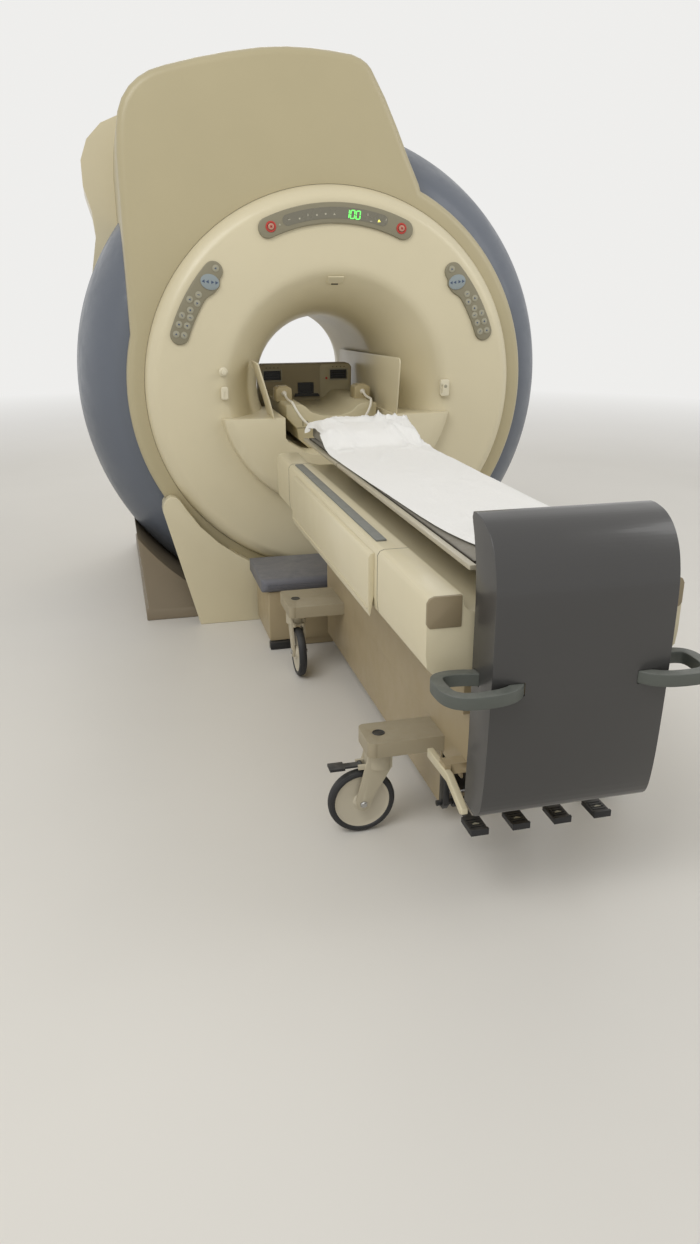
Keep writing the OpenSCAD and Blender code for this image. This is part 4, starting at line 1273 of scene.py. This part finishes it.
SHEET_LINE = [(-2.992, 0.9135), (-1.500, 0.9135), (-1.442, 0.948), (-1.386, 0.974),
              (-1.312, 0.985), (-1.200, 0.986), (-1.152, 0.978), (-1.128, 0.958)]


def sheet_path(reach):
    """A place on the line over the pads, as y and z, by its distance from the foot end."""
    for (ay, az), (by, bz) in zip(SHEET_LINE, SHEET_LINE[1:]):
        step = math.hypot(by - ay, bz - az)
        if reach <= step:
            t = reach / step
            return ay + (by - ay) * t, az + (bz - az) * t
        reach -= step
    return SHEET_LINE[-1]


def make_sheet():
    """A flat grid laid along the pads with small waves, then draped, folded and thickened."""
    random.seed(5)
    let_go()
    bpy.ops.mesh.primitive_grid_add(x_subdivisions=CELLS_W, y_subdivisions=CELLS_L, size=1,
                                    calc_uvs=True)
    sheet = bpy.context.object
    sheet.name = "sheet_cotton"
    waves = [(random.uniform(-60, 60), random.uniform(8, 46), random.uniform(0, 6.28),
              random.uniform(0.0006, 0.0022)) for _ in range(22)]
    total = sum(math.dist(a, b) for a, b in zip(SHEET_LINE, SHEET_LINE[1:]))
    for vertex in sheet.data.vertices:
        u, v = vertex.co.x + 0.5, vertex.co.y + 0.5
        y, z = sheet_path(v * total)
        x = 0.010 + (u - 0.5) * SHEET_W * 0.975 + 0.022 * (1 - v) ** 2 - 0.004 * v
        head = max(0.0, (v - 0.72) / 0.28)
        z += sum(a * math.sin(kx * x + ky * y + p) for kx, ky, p, a in waves) * (0.5 + 1.6 * head)
        z += 0.006 + 0.010 * head
        vertex.co = (x, y, z)
    for face in sheet.data.polygons:
        face.use_smooth = True
    drape(sheet, [bpy.data.objects["mattress_pad"], bpy.data.objects["head_pad_wedge"],
                  bpy.data.objects["cradle_tray"]])
    fold(sheet)
    thick = sheet.modifiers.new("thick", "SOLIDIFY")
    thick.thickness = 0.0012
    thick.offset = 1
    apply_all(sheet)
    dress(sheet, "sheet", "cradle_body", "sheet", angle=70)


FOLDS = [(0.055, -1.315, -1.25, 0.016, 0.30, 0.021), (0.055, -1.315, -0.75, 0.013, 0.26, 0.018),
         (0.055, -1.315, 0.35, 0.014, 0.22, 0.019), (0.055, -1.315, 2.35, 0.015, 0.24, 0.020),
         (0.055, -1.315, 1.35, 0.011, 0.20, 0.017), (-0.120, -1.240, -0.25, 0.015, 0.22, 0.012),
         (0.150, -1.230, -1.90, 0.013, 0.20, 0.012), (-0.060, -1.760, 1.25, 0.020, 0.34, 0.006),
         (0.090, -2.150, -1.30, 0.022, 0.42, 0.005), (-0.100, -2.420, 1.45, 0.020, 0.36, 0.005),
         (0.060, -2.700, 0.20, 0.016, 0.26, 0.006), (-0.020, -2.860, -0.12, 0.014, 0.34, 0.013),
         (0.030, -2.930, 0.08, 0.012, 0.34, 0.012)]


def fold(sheet):
    """Soft ridges that run out from where the sheet was gathered, and a turned corner."""
    for vertex in sheet.data.vertices:
        x, y, z = vertex.co
        lift = 0.0
        for fx, fy, turn, width, reach, height in FOLDS:
            dx, dy = x - fx, y - fy
            along = dx * math.cos(turn) + dy * math.sin(turn)
            across = -dx * math.sin(turn) + dy * math.cos(turn)
            if along > -0.03:
                spread = width * (0.6 + 2.2 * max(0.0, along))
                fade = math.exp(-(along / reach) ** 2) * min(1.0, (along + 0.03) / 0.05)
                lift += height * fade * math.exp(-(across / spread) ** 2)
        corner = max(0.0, min(1.0, (-x - 0.10) / 0.09)) * max(0.0, min(1.0, (y + 1.235) / 0.07))
        vertex.co = (x - 0.022 * corner, y, z + lift * (1 - corner) - 0.014 * corner)


COTTON = dict(quality=6, mass=0.18, tension_stiffness=14, compression_stiffness=14,
              shear_stiffness=6, bending_stiffness=0.35, air_damping=2.0, shrink_min=-0.035)


def drape(sheet, supports):
    """Lets the sheet settle on what carries it, and keeps the shape it takes."""
    held = []
    for piece in supports:
        step = piece.modifiers.new("carry", "COLLISION")
        piece.collision.thickness_outer = 0.003
        piece.collision.cloth_friction = 12
        held.append((piece, step))
    cloth = sheet.modifiers.new("drape", "CLOTH")
    for setting, value in COTTON.items():
        setattr(cloth.settings, setting, value)
    cloth.collision_settings.distance_min = 0.002
    cloth.collision_settings.use_self_collision = False
    scene = bpy.context.scene
    scene.frame_start, scene.frame_end = 1, SETTLED
    cloth.point_cache.frame_start, cloth.point_cache.frame_end = 1, SETTLED
    for number in range(1, SETTLED + 1):
        scene.frame_set(number)
    take(sheet)
    bpy.ops.object.modifier_apply(modifier=cloth.name)
    for piece, step in held:
        piece.modifiers.remove(step)
    scene.frame_set(1)


make_frame_and_panels()
make_rail_ends_and_seams()
make_pads()
make_sheet()


# what stays as the source has it
for name in sorted(left_as_cad):
    nodes[name].data.materials.clear()
    nodes[name].data.materials.append(FINISH[slot_of[name]])


# room and light
BACKDROP = (0.86, 0.855, 0.84, 1)


def make_floor():
    """A pale floor that fades into the backdrop."""
    let_go()
    bpy.ops.mesh.primitive_plane_add(size=60, location=(0, 0, -0.0005))
    floor = bpy.context.object
    floor.name = "floor"
    made = bpy.data.materials.new("pale_floor")
    made.use_nodes = True
    shader = made.node_tree.nodes["Principled BSDF"]
    tone = placed(made.node_tree, TONE, Color=linear((222, 219, 212)),
                  Shade=linear((214, 211, 204)), Size=0.6, Amount=0.5, Dust_Amount=0.0)
    made.node_tree.links.new(tone, shader.inputs["Base Color"])
    shader.inputs["Roughness"].default_value = 0.45
    where = made.node_tree.nodes.new("ShaderNodeTexCoord")
    far = made.node_tree.nodes.new("ShaderNodeVectorMath")
    far.operation = "LENGTH"
    made.node_tree.links.new(where.outputs["Object"], far.inputs[0])
    fade = ramp_in(made.node_tree, far.outputs["Value"], 0, 1, 4.0, 9.5)
    glow = made.node_tree.nodes.new("ShaderNodeEmission")
    glow.inputs["Color"].default_value = BACKDROP
    blend = made.node_tree.nodes.new("ShaderNodeMixShader")
    made.node_tree.links.new(fade, blend.inputs[0])
    made.node_tree.links.new(shader.outputs[0], blend.inputs[1])
    made.node_tree.links.new(glow.outputs[0], blend.inputs[2])
    made.node_tree.links.new(blend.outputs[0],
                             made.node_tree.nodes["Material Output"].inputs["Surface"])
    floor.data.materials.append(made)


LAMPS = (("key", (-3.2, -4.6, 5.2), (0, -0.8, 0.9), 3.4, 150),
         ("fill", (4.2, -3.6, 3.6), (0, -1.2, 0.9), 3.0, 60),
         ("back", (0.5, 4.8, 4.6), (0, 0, 1.2), 3.0, 70))


def make_lamps():
    """Three soft lamps, each turned to the point that it aims at."""
    for name, place, aim, size, watts in LAMPS:
        bpy.ops.object.light_add(type="AREA", location=place)
        lamp = bpy.context.object
        lamp.name = name
        lamp.data.energy = watts
        lamp.data.size = size
        lamp.rotation_euler = (Vector(aim) - Vector(place)).to_track_quat("-Z", "Y").to_euler()


def make_world():
    """Even light from all round, and the backdrop's colour where it is seen."""
    world = bpy.data.worlds.new("studio")
    world.use_nodes = True
    bpy.context.scene.world = world
    tree = world.node_tree
    tree.nodes.clear()
    out = tree.nodes.new("ShaderNodeOutputWorld")
    mix = tree.nodes.new("ShaderNodeMixShader")
    light, seen = tree.nodes.new("ShaderNodeBackground"), tree.nodes.new("ShaderNodeBackground")
    light.inputs["Color"].default_value = (1.0, 0.985, 0.96, 1)
    light.inputs["Strength"].default_value = 0.55
    seen.inputs["Color"].default_value = BACKDROP
    seen.inputs["Strength"].default_value = 1.0
    path = tree.nodes.new("ShaderNodeLightPath")
    either = math_in(tree, "MAXIMUM", path.outputs["Is Camera Ray"],
                     math_in(tree, "MAXIMUM", path.outputs["Is Glossy Ray"],
                             path.outputs["Is Transmission Ray"]))
    tree.links.new(either, mix.inputs[0])
    tree.links.new(light.outputs[0], mix.inputs[1])
    tree.links.new(seen.outputs[0], mix.inputs[2])
    tree.links.new(mix.outputs[0], out.inputs[0])


make_floor()
make_lamps()
make_world()
bpy.context.scene.view_settings.view_transform = "Standard"
